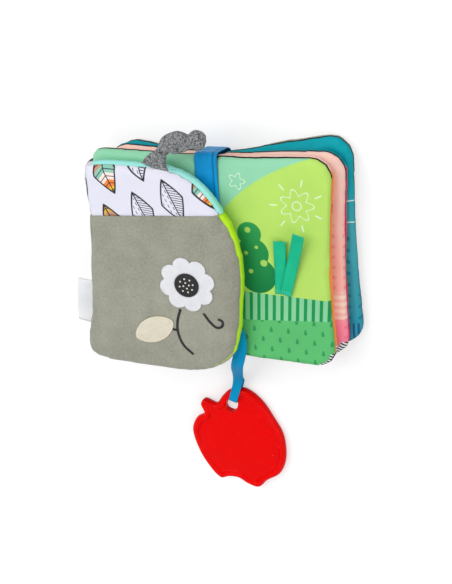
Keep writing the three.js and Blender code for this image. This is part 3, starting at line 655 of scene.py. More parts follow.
def coordinates(piece):
    """The piece's points in millimetres from the gutter."""
    return (vectors(piece, "co") - np.array(GUTTER)) / MM


def put_back(piece, points):
    piece.data.vertices.foreach_set("co", (points * MM + np.array(GUTTER)).ravel())
    piece.data.update()


def plane_cut(shell, point, normal, keep=0):
    """Cuts a bmesh by a plane: keep is 1 for what is ahead of it, -1 for what is behind, 0 for both."""
    bmesh.ops.bisect_plane(
        shell, geom=[*shell.verts, *shell.edges, *shell.faces], plane_co=point, plane_no=normal,
        clear_inner=keep > 0, clear_outer=keep < 0,
    )


def level_cut(shell, z, keep=0):
    plane_cut(shell, (0, 0, z * MM), (0, 0, 1), keep)


def closed_part(name, shell, finish):
    """The piece that a cut leaves, with its holes closed, its faces turned outwards and its finish on."""
    open_edges = [edge for edge in shell.edges if edge.is_boundary]
    if open_edges:
        made = bmesh.ops.holes_fill(shell, edges=open_edges, sides=0)
        bmesh.ops.triangulate(shell, faces=made["faces"])
    bmesh.ops.recalc_face_normals(shell, faces=shell.faces)
    part = piece_from(name, shell)
    finish.dress(part)
    return part


def puckered(points, outline, seed, normals):
    """Points pushed in and out near the seam, in short folds that run across it."""
    tree = KDTree(len(outline))
    for i, (x, y) in enumerate(outline):
        tree.insert((x, y, 0), i)
    tree.balance()
    steps = np.linalg.norm(np.roll(outline, -1, axis=0) - outline, axis=1)
    along = np.concatenate([[0], np.cumsum(steps)[:-1]])
    moved = points.copy()
    for i, point in enumerate(points):
        found, nearest, distance = tree.find((point[0], point[1], 0))
        if distance < 3 * PUCKER_REACH:
            fold = noise.noise((along[nearest] / PUCKER_LENGTH, distance / (4 * PUCKER_LENGTH), seed))
            moved[i] += normals[i] * PUCKER_DEPTH * fold * math.exp(-distance / PUCKER_REACH)
    return moved


def skin_of(piece):
    """A finder of the places where a line meets the piece's surface."""
    shell = shell_of(piece.data)
    tree = BVHTree.FromBMesh(shell)
    shell.free()
    return tree


def seam_line(pad, outline, seam):
    """Where the pad's skin stands at the seam's height, all the way round."""
    tree = skin_of(pad)
    out = moved_in(outline, -1) - outline
    found = []
    for point, outward in zip(outline, out):
        start = Vector((*(point + outward * 9), seam))
        hit = tree.ray_cast(GUTTER + start * MM, Vector((*-outward, 0)))[0]
        found.append((*point, seam) if hit is None else tuple((hit - GUTTER) / MM))
    return np.array(found) + at_height(out, 0) * 0.1


def half_pads(name, outline, rings, low, high, seam, grain, cap, seed, finishes):
    """A sewn pad in two closed halves, above and below its seam, and the line of the seam, from the
    rings of its plain form."""
    pad = remeshed(lofted(name, rings), grain)
    inflated(pad, cap)
    points = coordinates(pad)
    over = np.maximum(points[:, 2] - (high - PAD_SOFT), 0)
    under = np.maximum((low + PAD_SOFT) - points[:, 2], 0)
    points[:, 2] += PAD_SOFT * np.tanh(over / PAD_SOFT) - over
    points[:, 2] -= PAD_SOFT * np.tanh(under / PAD_SOFT) - under
    put_back(pad, points)
    shell = shell_of(pad.data)
    for offset in SEAM_CUTS:
        level_cut(shell, seam + offset * SEAM_GROOVE_WIDTH)
    shell.to_mesh(pad.data)
    shell.free()
    points = coordinates(pad)
    normals = vectors(pad, "normal")
    flat = normals * (1, 1, 0)
    depth = SEAM_GROOVE * np.exp(-(((points[:, 2] - seam) / SEAM_GROOVE_WIDTH) ** 2))
    points = puckered(points, outline, seed, normals)
    points -= flat * depth[:, None]
    points[:, 2] = np.clip(points[:, 2], low, high)
    put_back(pad, points)
    halves = []
    for side, (part, finish) in zip((1, -1), finishes):
        shell = shell_of(pad.data)
        level_cut(shell, seam + side * SEAM_HALF_GAP, side)
        halves.append(closed_part(part, shell, finish))
    line = seam_line(pad, outline, seam)
    bpy.data.objects.remove(pad)
    return halves, line


def valley(x):
    """How much of the dip at the gutter is felt at a distance from it."""
    return eased(np.clip(1 - (np.abs(x) - GUTTER_WIDTH / 2) / VALLEY_REACH, 0, 1))


def dipped(points, low, seam, front, back):
    """Points lowered at the gutter on the front and raised there on the back."""
    share = np.clip((points[:, 2] - low) / (seam - low), 0, 1)
    fall = valley(points[:, 0])
    points[:, 2] += back * fall * (1 - share) - front * fall * share
    return points


def turned(points, turn, up):
    c, s = math.cos(turn), math.sin(turn)
    x, y = points[:, 0].copy(), points[:, 1].copy()
    points[:, 0] = c * x - s * y
    points[:, 1] = s * x + c * y + up
    return points


def half_page(name, side, spread):
    """One half page and the thread in its seam, on its own side of the gutter."""
    width, low, high = spread[name + "_width"], spread["low"], spread["high"]
    seam = high - spread[name + "_seam"]
    widest = high - WIDEST_BELOW_FRONT
    right = leaf_outline(width, spread["gutter_drop"], spread[name + "_corner"], spread[name + "_inner"])
    outline = right * (side, 1)
    inner = moved_in(outline, PAGE_SHRINK)
    rings = [
        toward_middle(inner, 0.5, low),
        at_height(moved_in(inner, 8), low),
        at_height(moved_in(inner, 3), low + 0.2),
        at_height(moved_in(inner, 0.6), low + 2.9),
        at_height(moved_in(inner, 0.1), low + 5.2),
        at_height(inner, widest),
        at_height(moved_in(inner, 0.5), widest + 0.9),
        at_height(moved_in(inner, 2.2), high - 1.3),
        at_height(moved_in(inner, 8), high),
        toward_middle(inner, 0.5, high),
    ]
    part = spread["name"] + "_" + name
    finishes = [(part + "_page", spread["face"]), (part + "_page_backing", spread["back"])]
    seed = spread["seed"] + side
    pads, line = half_pads(part, outline, rings, low, high, seam, PAGE_GRAIN, PAGE_SWELL_CAP, seed, finishes)
    thread = tube(part + "_page_seam", line, THREAD_RADIUS)
    spread["thread"].dress(thread)
    for piece in (*pads, thread):
        points = dipped(coordinates(piece), low, seam, spread["front_valley"], spread["back_valley"])
        put_back(piece, turned(pulled_in(points, spread["taper"]), spread["turn"], spread[name + "_up"]))
        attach(piece, spread[name + "_body"])
    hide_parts(part + "_face", part + "_foam")
    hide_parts(part + "_back")
    return pads


def tube(name, path, radius, sides=6):
    """A round strand along a closed path."""
    path = np.array(path, float)
    along = unit(np.roll(path, -1, axis=0) - np.roll(path, 1, axis=0))
    across = np.cross(along, (0, 0, 1))
    steep = np.linalg.norm(across, axis=1) < 0.1
    across[steep] = np.cross(along[steep], (0, 1, 0))
    across = unit(across)
    up = np.cross(across, along)
    around = np.linspace(0, 2 * math.pi, sides, endpoint=False)
    rings = [
        p + radius * (np.outer(np.cos(around), a) + np.outer(np.sin(around), u))
        for p, a, u in zip(path, across, up)
    ]
    return new_piece(name, np.concatenate(rings), banded(len(rings), sides, closed=True))


WEAVE_PITCH = 0.55
WEAVE_DEPTH = 0.05
CREASE_SIZE = 16
CREASE_DEPTH = 1.05
CLOTH_GLOSS = 0.14


def cloth_normal(finish):
    """A plain weave with broad soft creases."""
    x, y, z = finish.place()
    warp, weft = (((way + z) * (2 * math.pi / WEAVE_PITCH)).math("SINE") for way in (x, y))
    threads = finish.bump(warp * weft, WEAVE_DEPTH, 0.5)
    return finish.bump(finish.noise(CREASE_SIZE, 3), CREASE_DEPTH, 0.55, threads)


def aged(finish, color, amount):
    """A colour a little lighter and darker over the cloth."""
    cloud = finish.noise(24, 3, seed=3.0)
    sockets = {"Value": (cloud - 0.5) * amount * 2 + 1.0, "Color": color}
    return finish.node("ShaderNodeHueSaturation", None, sockets)


def printed(finish, color, roughness=0.62, wear=0.10):
    """The finish of a printed or dyed cloth of this colour."""
    return finish.surface(
        aged(finish, color, wear), roughness, cloth_normal(finish), Specular_IOR_Level=CLOTH_GLOSS
    )


def from_point(x, y):
    return (x * x + y * y).math("SQRT")


def round_spots(x, y, *spots):
    return union(*(from_point(x - cx, y - cy).below(radius) for cx, cy, radius in spots))


def rosette(x, y, radius, wave, petals, line):
    """The drawn line of a flower with a number of round petals."""
    edge = (y.math("ARCTAN2", x) * petals).math("COSINE") * wave + radius
    return abs(from_point(x, y) - edge).below(line / 2)


def union(first, *others):
    for other in others:
        first = first.math("MAXIMUM", other)
    return first


MINT = paint(146, 212, 174)
LIME = paint(182, 222, 104)
MEADOW = paint(92, 188, 112)
BUSH_DARK = paint(16, 122, 66)
BUSH_LIGHT = paint(48, 156, 80)
CHALK = paint(226, 242, 216)
STRIPE_PALE = paint(134, 206, 156)
STRIPE_DARK = paint(30, 146, 80)
PRINT_DOT = paint(52, 154, 90)
STRIPE_PITCH = 5.85


def striped_corner(finish, color, x, y, radius):
    """Black and white stripes on the rim of a page's lower right corner, whose centre is the origin."""
    rim = (1 - from_point(x, y).below(radius)) * (1 - x.below(3)) * y.below(-2.5)
    stripes = abs((x * 0.8 + y).within(3.2) - 1.6).below(0.8, 0.2)
    return finish.mix(rim, color, finish.mix(stripes, paint(236, 238, 238), paint(30, 32, 36)))


def front_print():
    """A hill under a clear sky, a drawn flower, a clipped bush, a striped border and a dotted field."""
    finish = Finish("mint_cloth")
    x, y, _ = finish.place()
    color = finish.mix(from_point(x - 104, y + 44).below(128, 0.8), MINT, LIME)
    bloom_x, bloom_y = x - 62, y - 46
    reach = from_point(bloom_x, bloom_y)
    turns = bloom_y.math("ARCTAN2", bloom_x) * 7
    spoke = abs((turns + math.pi).math("COSINE")).math("ARCCOSINE")
    rays = (spoke * reach / 7).below(0.5) * abs(reach - 17).below(2.6) * turns.math("COSINE").below(0, 0.5)
    drawn = union(
        rosette(bloom_x, bloom_y, 10, 2.4, 7, 0.9), rosette(bloom_x, bloom_y, 3.2, 0, 1, 0.8), rays,
        rosette(x - 19, y - 62, 4.8, 1.4, 5, 0.8),
    )
    color = finish.mix(drawn * 0.85, color, CHALK)
    bush = round_spots(x, y, (31, -9, 14), (28, 8, 12), (26, 23, 9))
    color = finish.mix(bush, color, finish.mix(((y + 20) / 60).clamped(), BUSH_DARK, BUSH_LIGHT))
    berries = round_spots(x, y, (25, 26, 2.2), (31, 13, 1.3), (23, 8, 1.5), (36, 1, 2.6), (26, -6, 1.8))
    color = finish.mix(berries * 0.8, color, LIME)
    border = (y + (x - 21.6) * 0.044).below(-22.6)
    field = (y - (x - 20.3) * 0.063).below(-45.6)
    stripes = abs((x - y * 0.05).within(STRIPE_PITCH) - STRIPE_PITCH / 2).below(1.25)
    color = finish.mix(border, color, finish.mix(stripes, STRIPE_PALE, STRIPE_DARK))
    row = (y / 8).math("FLOOR")
    cell_x = (x + row * 6.5).within(13) - 6.5
    cell_y = y.within(8) - 4
    drop = (cell_y + 1.6).math("MAXIMUM", 0.0)
    marks = ((cell_x * cell_x) * (drop * 0.9 + 1) + cell_y * cell_y * 0.55).math("SQRT").below(1.7)
    color = finish.mix(field, color, finish.mix(marks, MEADOW, PRINT_DOT))
    return printed(finish, striped_corner(finish, color, x - 71, y + 65.5, 12.6))


def up_the_page(finish, y, stops):
    """A colour that changes from the page's foot to its top."""
    return finish.node("ShaderNodeValToRGB", {"stops": stops}, {"Fac": y / PAGE_HEIGHT + 0.5})


def middle_print():
    """Pale peach above, rose below, with a cream band and rows of small squares."""
    finish = Finish("peach_cloth")
    x, y, _ = finish.place()
    fade = up_the_page(finish, y, [
        (0.0, paint(248, 122, 156)), (0.2, paint(248, 142, 164)), (0.3, paint(248, 178, 170)),
        (0.5, paint(243, 180, 168)), (0.78, paint(243, 196, 184)), (1.0, paint(244, 206, 192)),
    ])
    wave = (x * 0.12).math("SINE") * 2
    band = abs(y + wave + 36).below(11)
    bars = abs(y.within(5.5) - 2.75).below(1.3) * band
    color = finish.mix(band * 0.7, fade, paint(248, 226, 206))
    color = finish.mix(bars * 0.45, color, paint(240, 150, 150))
    squares = abs(x.within(8) - 4).below(1.3) * abs(y.within(8) - 4).below(1.3)
    squares = squares * (1 - band) * y.below(30, 20)
    color = finish.mix(squares * 0.4, color, paint(226, 92, 110))
    return printed(finish, striped_corner(finish, color, x - 78, y + 61.5, 10.5))


def back_print():
    """Teal water with drawn ripples, dots and a deep blue border of stripes."""
    finish = Finish("teal_cloth")
    x, y, _ = finish.place()
    fade = up_the_page(finish, y, [
        (0.0, paint(0, 134, 170)), (0.3, paint(58, 160, 174)), (0.62, paint(64, 168, 178)),
        (0.84, paint(0, 160, 172)), (1.0, paint(0, 158, 170)),
    ])
    ripple = y + ((x * 0.32).math("SINE")) * 2.4
    lines = union(*(abs(ripple - line).below(0.45) for line in (40, 24)))
    color = finish.mix(lines, fade, paint(206, 238, 238))
    dots = round_spots(x.within(8), y.within(9), (4, 4.5, 1.5)) * y.below(20)
    color = finish.mix(dots * 0.7, color, paint(0, 118, 150))
    deep = abs(y + 62).below(8)
    bars = abs(x.within(3.4) - 1.7).below(0.8)
    color = finish.mix(deep, color, finish.mix(bars, paint(14, 100, 142), paint(58, 150, 176)))
    return printed(finish, color)


def front_backing():
    """Pale peach along the top, orange down the side with one red patch, and stripes at the foot."""
    finish = Finish("coral_cloth")
    x, y, z = finish.place()
    color = finish.mix(finish.noise(30, 1, seed=1.0), paint(255, 172, 84), paint(250, 136, 62))
    color = finish.mix(abs(y - 43.5).below(3.5), color, paint(228, 74, 34))
    color = finish.mix((y * -1).below(-71, 3), color, paint(246, 200, 186))
    stripes = abs((x * 0.8 + y + z * 0.5).within(2.6) - 1.3).below(0.62, 0.2)
    color = finish.mix(y.below(-63, 1), color, finish.mix(stripes, paint(238, 238, 240), paint(30, 30, 34)))
    return printed(finish, color, 0.65)


def middle_backing():
    """Crimson, with a teal turning along the top."""
    finish = Finish("crimson_cloth")
    _, y, _ = finish.place()
    color = finish.mix(finish.noise(30, 1, seed=1.0), paint(236, 66, 108), paint(222, 44, 88))
    color = finish.mix((y * -1).below(-70, 3), color, paint(0, 146, 160))
    return printed(finish, color, 0.65)


# Near black: dark thread, and also painted shade in the seam's groove.
DARK_THREAD_AND_GROOVE_SHADE = paint(6, 6, 10)


def seam_thread(name, side, corner_y):
    """Thread that is dark along the top, the foot and round the corners, and another colour between. The dark
    is partly real thread and partly painted shade in the seam's groove.
    """
    finish = Finish("black_cloth", name)
    x, y, z = finish.place()
    color = finish.mix(y.below(corner_y, 2), DARK_THREAD_AND_GROOVE_SHADE, side)
    color = finish.mix(y.below(-68, 2), color, DARK_THREAD_AND_GROOVE_SHADE)
    twist = ((x + y + z * 2) * 9).math("SINE")
    return finish.surface(color, 0.6, finish.bump(twist, 0.1, 0.5), Specular_IOR_Level=0.3)


front_thread = seam_thread("front_thread", paint(246, 140, 50), 66)
middle_thread = seam_thread("middle_thread", paint(206, 36, 70), 62)
back_thread = seam_thread("back_thread", paint(0, 120, 140), 52)

mint_cloth = front_print()
peach_cloth = middle_print()
teal_cloth = back_print()
coral_cloth = front_backing()
crimson_cloth = middle_backing()

PLAIN_SPREAD = {
    "left_inner": GUTTER_WIDTH / 2, "right_inner": GUTTER_WIDTH / 2, "right_corner": LEAF_CORNER, "taper": 0,
    "turn": 0, "left_up": 0, "right_up": 0, "gutter_drop": 0, "front_valley": 0, "back_valley": 0,
    "left_body": "left_half",
}
spreads = [
    PLAIN_SPREAD | {
        "name": "back", "left_width": 81, "right_width": 100, "left_corner": LEAF_CORNER, "taper": 0.03,
        "turn": BACK_TURN, "left_up": BACK_SHIFT_UP, "right_up": BACK_SHIFT_UP + 2.2, "gutter_drop": 6.5,
        "left_seam": 6, "right_seam": 6, "back_valley": BACK_VALLEY, "face": teal_cloth,
        "thread": back_thread, "right_body": "back_page", "seed": 11,
    },
    PLAIN_SPREAD | {
        "name": "middle", "left_width": 83.5, "right_width": 95, "left_corner": 15, "taper": 0.06,
        "left_seam": 5, "right_seam": 5.2, "face": peach_cloth, "back": crimson_cloth,
        "thread": middle_thread, "right_body": "middle_page", "seed": 23,
    },
    PLAIN_SPREAD | {
        "name": "front", "left_width": 92.6, "right_width": 88, "left_corner": 10, "right_inner": 0.7,
        "left_seam": 6.2, "right_seam": 4.2, "front_valley": FRONT_VALLEY, "face": mint_cloth,
        "back": coral_cloth, "thread": front_thread, "right_body": "front_page", "seed": 37,
    },
]


# Plush and jersey: brushed cloths. The plush is a short pile that catches the light in patches, and
# covers the book's back, its spine and the lower part of the cover flap. The jersey is grey heather.
def plush():
    finish = Finish("grey_plush")
    brushed = finish.noise(11, 4)
    tufts = finish.noise(1.7, 3, seed=2.0)
    fibres = finish.noise(0.5, 2, seed=4.0)
    swept = finish.noise(38, 2, stretch=(1, 0.6, 1), seed=9.0)
    level = (brushed - 0.5) * 0.5 + (tufts - 0.5) * 0.8 + (fibres - 0.5) * 0.35 + (swept - 0.5) * 0.9 + 0.5
    color = finish.mix(level.clamped(), paint(118, 119, 105), paint(170, 170, 154))
    normal = finish.bump(tufts * 0.7 + fibres * 0.5, 0.55, 0.6)
    normal = finish.bump(finish.noise(26, 2, seed=6.0), 1.6, 0.4, normal)
    return finish.surface(color, 0.95, normal, Sheen_Weight=0.35, Sheen_Roughness=0.5)


def jersey():
    finish = Finish("grey_jersey")
    flecks = finish.noise(1.3, 3)
    fibres = finish.noise(0.6, 2, seed=5.0)
    level = ((flecks - 0.5) * 3.4 + (fibres - 0.5) * 2.4 + 0.5).clamped()
    color = finish.mix(level, paint(50, 52, 55), paint(156, 158, 160))
    normal = finish.bump(fibres + flecks * 0.6, 0.4, 0.6)
    return finish.surface(color, 0.95, normal, Sheen_Weight=0.2, Sheen_Roughness=0.5)


grey_plush = plush()
spreads[0]["back"] = grey_plush
for spread in spreads:
    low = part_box(spread["name"] + "_right_back")[0].z / MM
    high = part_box(spread["name"] + "_right_face")[1].z / MM
    spread.update(low=low, high=high)
    spread["left"] = half_page("left", -1, spread)
    spread["right"] = half_page("right", 1, spread)


# Gutter cloths: a narrow strip of each spread's own print joins its two halves and is the hinge that
# the pages turn on.
GUTTER_CLOTH = 1.4


def strip(name, path, across, width, cloth, columns=8, arch=0.0):
    """A band of cloth along a path: flat across its width, with its own lengthwise pattern places."""
    path = np.array(path, float)
    across = np.array(across, float) * np.ones_like(path)
    along = unit(np.gradient(path, axis=0))
    across = unit(across - along * np.sum(across * along, axis=1)[:, None])
    up = np.cross(across, along)
    lengths = np.concatenate([[0], np.cumsum(np.linalg.norm(np.diff(path, axis=0), axis=1))])
    points, places = [], []
    shares = np.linspace(-1, 1, columns + 1)
    for p, a, u, reached, wide in zip(path, across, up, lengths, np.broadcast_to(width, len(path))):
        for face in (1, -1):
            for s in shares[::face]:
                edge = 1 - 0.6 * max(0, abs(s) - 0.85) / 0.15
                bow = arch * (1 - s * s)
                points.append(p + a * s * wide / 2 + u * (face * cloth / 2 * edge + bow))
                places.append((s * wide / 2 + wide / 2, reached))
    count = 2 * (columns + 1)
    rows = len(path)
    faces = banded(rows, count)
    for start in (0, (rows - 1) * count):
        for i in range(columns):
            faces.append((start + i, start + i + 1, start + count - 2 - i, start + count - 1 - i))
    piece = new_piece(name, points, faces)
    layer = piece.data.uv_layers.new(name="cloth")
    for loop in piece.data.loops:
        layer.data[loop.index].uv = places[loop.vertex_index]
    return piece


for spread in spreads:
    part = spread["name"] + "_gutter"
    low, high = (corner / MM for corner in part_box(part))
    middle_z = (low.z + high.z) / 2
    half_length = PAGE_HEIGHT / 2 - GUTTER_CORNER - spread["gutter_drop"]
    path = [(0, y, middle_z) for y in np.linspace(half_length, -half_length, 60)]
    width = GUTTER_WIDTH - 0.5
    hinge_cloth = strip(part + "_cloth", path, (1, 0, 0), width, GUTTER_CLOTH, columns=6, arch=-0.25)
    put_back(hinge_cloth, turned(pulled_in(coordinates(hinge_cloth)), spread["turn"], spread["left_up"]))
    spread["face"].dress(hinge_cloth)
    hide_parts(part)
    bodies = ("left_half" if spread["name"] == "back" else "back_page", spread["right_body"])
    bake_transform(hinge_cloth)


# Strap: a wide blue satin ribbon that goes once round all three spreads at the gutter and binds them.
# One edge is turned in and stitched down. It is drawn in two runs, as the front one follows the pages.
STRAP_WIDTH = 16.4
STRAP_CENTRE_X = -3.1
STRAP_CLOTH = 0.8
STRAP_EDGE_ROOM = -1.5
STRAP_FRONT_BEND = 5
STRAP_BACK_BEND = 9
STRAP_SIDE_LEAN = 5.5
STRAP_LIFT = 0.4
STRAP_HEM_AT = 13.6
STRAP_DIP = FRONT_VALLEY * valley(STRAP_CENTRE_X - STRAP_WIDTH / 2)


def satin(slot, dark, light, rib=0.42, name=None, hem=None, gloss=0.16):
    """Woven ribbon: fine ribs across it, a soft gloss and patches of painted sheen, and, where it has a hem,
    its stitches and its groove, which is painted dark as shade.
    """
    finish = Finish(slot, name)
    place = finish.node("ShaderNodeUVMap", {"uv_map": "cloth"})
    across, along, _ = finish.split(place)
    ribs = (along * (2 * math.pi / rib)).math("SINE")
    cords = (across * (2 * math.pi / (rib * 1.4))).math("SINE")
    # Painted sheen: the cloud mixes the ribbon's colour towards the light one, which stands for where the
    # satin catches the light.
    cloud = finish.noise(13, 2)
    color = finish.mix(cloud, dark, light)
    color = finish.mix((ribs * 0.5 + 0.5) * 0.16, color, dark)
    normal = finish.bump(ribs + cords * 0.3, 0.05, 0.6)
    normal = finish.bump(finish.noise(7, 2), 0.6, 0.35, normal)
    if hem is not None:
        # Painted shade: the hem's groove is coloured dark blue, as are its stitches, which are thread.
        groove = abs(across - hem).below(0.35, 0.3)
        stitch = abs(across - hem + 0.9).below(0.2, 0.15) * (along.within(2.6)).below(1.6, 0.2)
        color = finish.mix(union(groove, stitch) * 0.65, color, paint(0, 62, 118))
        normal = finish.bump(1 - groove, 0.5, 0.6, normal)
    return finish.surface(color, cloud * 0.12 + 0.32, normal, Specular_IOR_Level=gloss)


def strap_run(way, reach, level, bend, parts):
    """One run of the strap, in front (way 1) or behind (way -1): along the book's edge from where its
    spreads part, round a bend, across, round the other bend and back along the other edge."""
    part_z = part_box("front_right_back")[0].z / MM - 0.3
    end, bend_z, first = way * (reach - bend), level - way * bend, 0 if way > 0 else math.pi
    side = np.linspace(part_z, bend_z, 5)

    def corner(y, start):
        angles = np.linspace(start, start + math.pi / 2, 9)
        return [(STRAP_CENTRE_X, y + bend * math.cos(a), bend_z + bend * math.sin(a)) for a in angles]

    run = [(STRAP_CENTRE_X, way * reach, z) for z in side[:-1]]
    run += corner(end, first)
    run += [(STRAP_CENTRE_X, y, level) for y in np.linspace(end, -end, parts)[1:-1]]
    run += corner(-end, first + math.pi / 2)
    run += [(STRAP_CENTRE_X, -way * reach, z) for z in side[::-1][1:]]
    return np.array(run)


def strap_paths():
    """The strap's front run with its bends, and its run behind the book, whose ends lean in."""
    reach = PAGE_HEIGHT / 2 + STRAP_EDGE_ROOM + STRAP_CLOTH / 2
    high = STACK_TOP - STRAP_DIP + 0.35 + STRAP_CLOTH / 2
    low = STRAP_LIFT + STRAP_CLOTH / 2
    runs = [
        strap_run(1, reach, high, STRAP_FRONT_BEND + STRAP_CLOTH / 2, 60),
        strap_run(-1, reach, low, STRAP_BACK_BEND + STRAP_CLOTH / 2, 50),
    ]
    for run in runs:
        run[:, 1] *= 1 - STRAP_SIDE_LEAN / reach * (1 - run[:, 2] / high)
    return runs


def path_length(path):
    return float(np.linalg.norm(np.diff(np.array(path), axis=0), axis=1).sum())


blue_satin = satin("blue_satin", paint(0, 128, 196), paint(0, 168, 232), hem=STRAP_HEM_AT)
front_run, rear_run = strap_paths()
strap_front, strap_rear = (
    strip(name, run, (1, 0, 0), STRAP_WIDTH, STRAP_CLOTH, columns=12)
    for name, run in (("strap_front_run", front_run), ("strap_rear_run", rear_run))
)
points = coordinates(strap_front)
on_front = np.clip((points[:, 2] - (STACK_TOP - 12)) / 6, 0, 1)
points[:, 2] += on_front * (STRAP_DIP - FRONT_VALLEY * valley(points[:, 0]))
for i, (x, y, z) in enumerate(points):
    ripple = noise.noise((x / 7, y / 16, 5.0)) * 0.5 * on_front[i]
    points[i, 2] += max(ripple, -0.1)
put_back(strap_front, points)
for piece, run in ((strap_front, front_run), (strap_rear, rear_run)):
    blue_satin.dress(piece)
    path_length(run) * MM
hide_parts("gutter_strap")
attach(strap_rear, "left_half")
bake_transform(strap_front)


# Cover flap: a padded half cover over the left pages. Its front is grey plush below and a printed
# cloth above, its lining is aqua above and lime below, and the lining's edge shows round its rim.
FLAP_EDGE = [
    (-76, 78.6), (-52, 78.2), (-27, 76.4), (-10.5, 70), (1.5, 60.5), (11.5, 46), (19.5, 31.5), (24.4, 13),
    (25.4, -9), (23.8, -31), (20.4, -52), (14.2, -70), (1.5, -81), (-20, -87.6), (-46, -86.8), (-68, -86.4),
    (-88, -84.4),
]
FLAP_HINGE_TOP = (-84, 76)
FLAP_HINGE_BOTTOM = (-99, -78)
FLAP_HINGE_PARTS = 4
FLAP_SEAM_BELOW_FRONT = 3.8
FLAP_RIM_LIFT = 5.2
FLAP_GRAIN = 3.4
FLAP_SWELL_CAP = 4.5
FLAP_SHRINK = 0.5
FLAP_WRAP = 5.6
FLAP_WRAP_FROM = -70
FLAP_WRAP_REACH = 16
PRINT_SEAM_LEFT = (-88, 36.5)
PRINT_SEAM_RIGHT = (12.5, 42)
PRINT_SCALE = 1.3
PRINT_LEAN = 0.42
PRINT_WIDE = 19.5
PRINT_TALL = 29


def flap_outline(steps):
    low, high = np.array(FLAP_HINGE_BOTTOM), np.array(FLAP_HINGE_TOP)
    hinge = [low + (high - low) * i / FLAP_HINGE_PARTS for i in range(FLAP_HINGE_PARTS + 1)]
    return smooth_path([*FLAP_EDGE, *hinge], steps, closed=True)


FLAP_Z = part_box("cover_lining_lower")[0].z / MM
FLAP_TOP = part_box("cover_plush_panel")[1].z / MM
FLAP_SEAM = FLAP_TOP - FLAP_SEAM_BELOW_FRONT
FLAP_RIM = FLAP_Z + FLAP_RIM_LIFT
flap_edge = flap_outline(8)


def wrapped(outline):
    """The flap's outline with its hinged side carried on round the head of the spine."""
    share = np.clip((FLAP_WRAP_FROM - outline[:, 0]) / FLAP_WRAP_REACH, 0, 1)
    return outline - np.outer(eased(share), (FLAP_WRAP, 0))


def printed_flap():
    """Hatched and coloured lozenges drawn on a pale cloth."""
    finish = Finish("printed_cloth")
    x, y = (place / PRINT_SCALE for place in finish.place()[:2])
    u = x * math.cos(PRINT_LEAN) + y * math.sin(PRINT_LEAN)
    v = y * math.cos(PRINT_LEAN) - x * math.sin(PRINT_LEAN)
    row = (v / PRINT_TALL).math("FLOOR")
    column = (u + row * (PRINT_WIDE / 2)) / PRINT_WIDE
    cell_u = (column - column.math("FLOOR") - 0.5) * PRINT_WIDE
    cell_v = v.within(PRINT_TALL) - PRINT_TALL / 2
    edge = (abs(cell_u) / 6.6) ** 1.15 + (abs(cell_v) / 12.6) ** 1.15
    shape = edge.below(1, 0.04)
    rim = abs(edge - 1).below(0.08, 0.05)
    rib = abs(cell_u).below(0.32, 0.2) * shape
    hatch = abs((cell_v + abs(cell_u) * 0.6).within(1.5) - 0.75).below(0.24, 0.2) * shape
    pick = (row * 2 + column.math("FLOOR")).within(3)
    colored = pick.below(0.5, 0.1)
    inks = finish.node("ShaderNodeValToRGB", {"stops": [
        (0.0, paint(246, 214, 60)), (0.20, paint(245, 130, 60)), (0.38, paint(250, 246, 244)),
        (0.54, paint(60, 180, 150)), (0.72, paint(244, 122, 88)), (0.9, paint(190, 214, 70)),
    ]}, {"Fac": ((cell_v + abs(cell_u) * 0.5) / 4.2).math("FLOOR") * 0.155 + 0.5})
    ground = paint(224, 224, 238)
    ink = paint(44, 46, 54)
    color = finish.mix(shape * colored, ground, inks)
    half = (cell_u > 0) * (1 - colored)
    seams = abs((cell_v + abs(cell_u) * 0.5).within(4.2) - 2.1).below(0.26, 0.2) * shape * colored
    color = finish.mix(union(rim, rib, hatch * half, seams), color, ink)
    dash = abs((cell_u + 6.6).within(2.2) - 1.1).below(0.2, 0.2)
    dash = dash * abs((cell_v + cell_u).within(3.4) - 1.7).below(0.95, 0.2)
    color = finish.mix(dash * edge.below(0.86, 0.04) * (1 - union(half, colored)), color, ink)
    return printed(finish, color, 0.6, 0.06)


def split_across(piece, name, keep, finish):
    """The part of a piece above (keep 1) or below (keep -1) the seam between print and plush."""
    start, end = np.array(PRINT_SEAM_LEFT), np.array(PRINT_SEAM_RIGHT)
    along = (end - start) / np.linalg.norm(end - start)
    across = Vector((-along[1], along[0], 0))
    origin = GUTTER + Vector((*start, 0)) * MM
    shell = shell_of(piece.data)
    for offset in (-2.2, -1, 1, 2.2):
        plane_cut(shell, origin + across * offset * MM, across)
    plane_cut(shell, origin + across * keep * SEAM_HALF_GAP * MM, across, keep)
    for vertex in shell.verts:
        offset = (vertex.co - GUTTER - Vector((*start, 0)) * MM).dot(across) / MM
        depth = 0.7 * math.exp(-((offset / 1.1) ** 2))
        vertex.co -= vertex.normal * depth * MM
    return closed_part(name, shell, finish)


def make_flap():
    outline = wrapped(flap_edge)
    inner = moved_in(outline, FLAP_SHRINK)
    rings = [
        toward_middle(inner, 0.6, FLAP_Z + 0.4),
        toward_middle(inner, 0.4, FLAP_Z + 0.8),
        at_height(moved_in(inner, 3), FLAP_RIM),
        at_height(inner, FLAP_RIM + 2.1),
        at_height(inner, FLAP_SEAM),
        at_height(moved_in(inner, 1), FLAP_SEAM + 1.2),
        at_height(moved_in(inner, 4), FLAP_TOP - 1.6),
        at_height(moved_in(inner, 12), FLAP_TOP - 0.6),
        toward_middle(inner, 0.5, FLAP_TOP - 0.4),
    ]
    finishes = [("flap_front", grey_plush), ("flap_lining", grey_plush)]
    return half_pads(
        "flap", outline, rings, FLAP_Z, FLAP_TOP, FLAP_SEAM, FLAP_GRAIN, FLAP_SWELL_CAP, 5.0, finishes
    )[0]


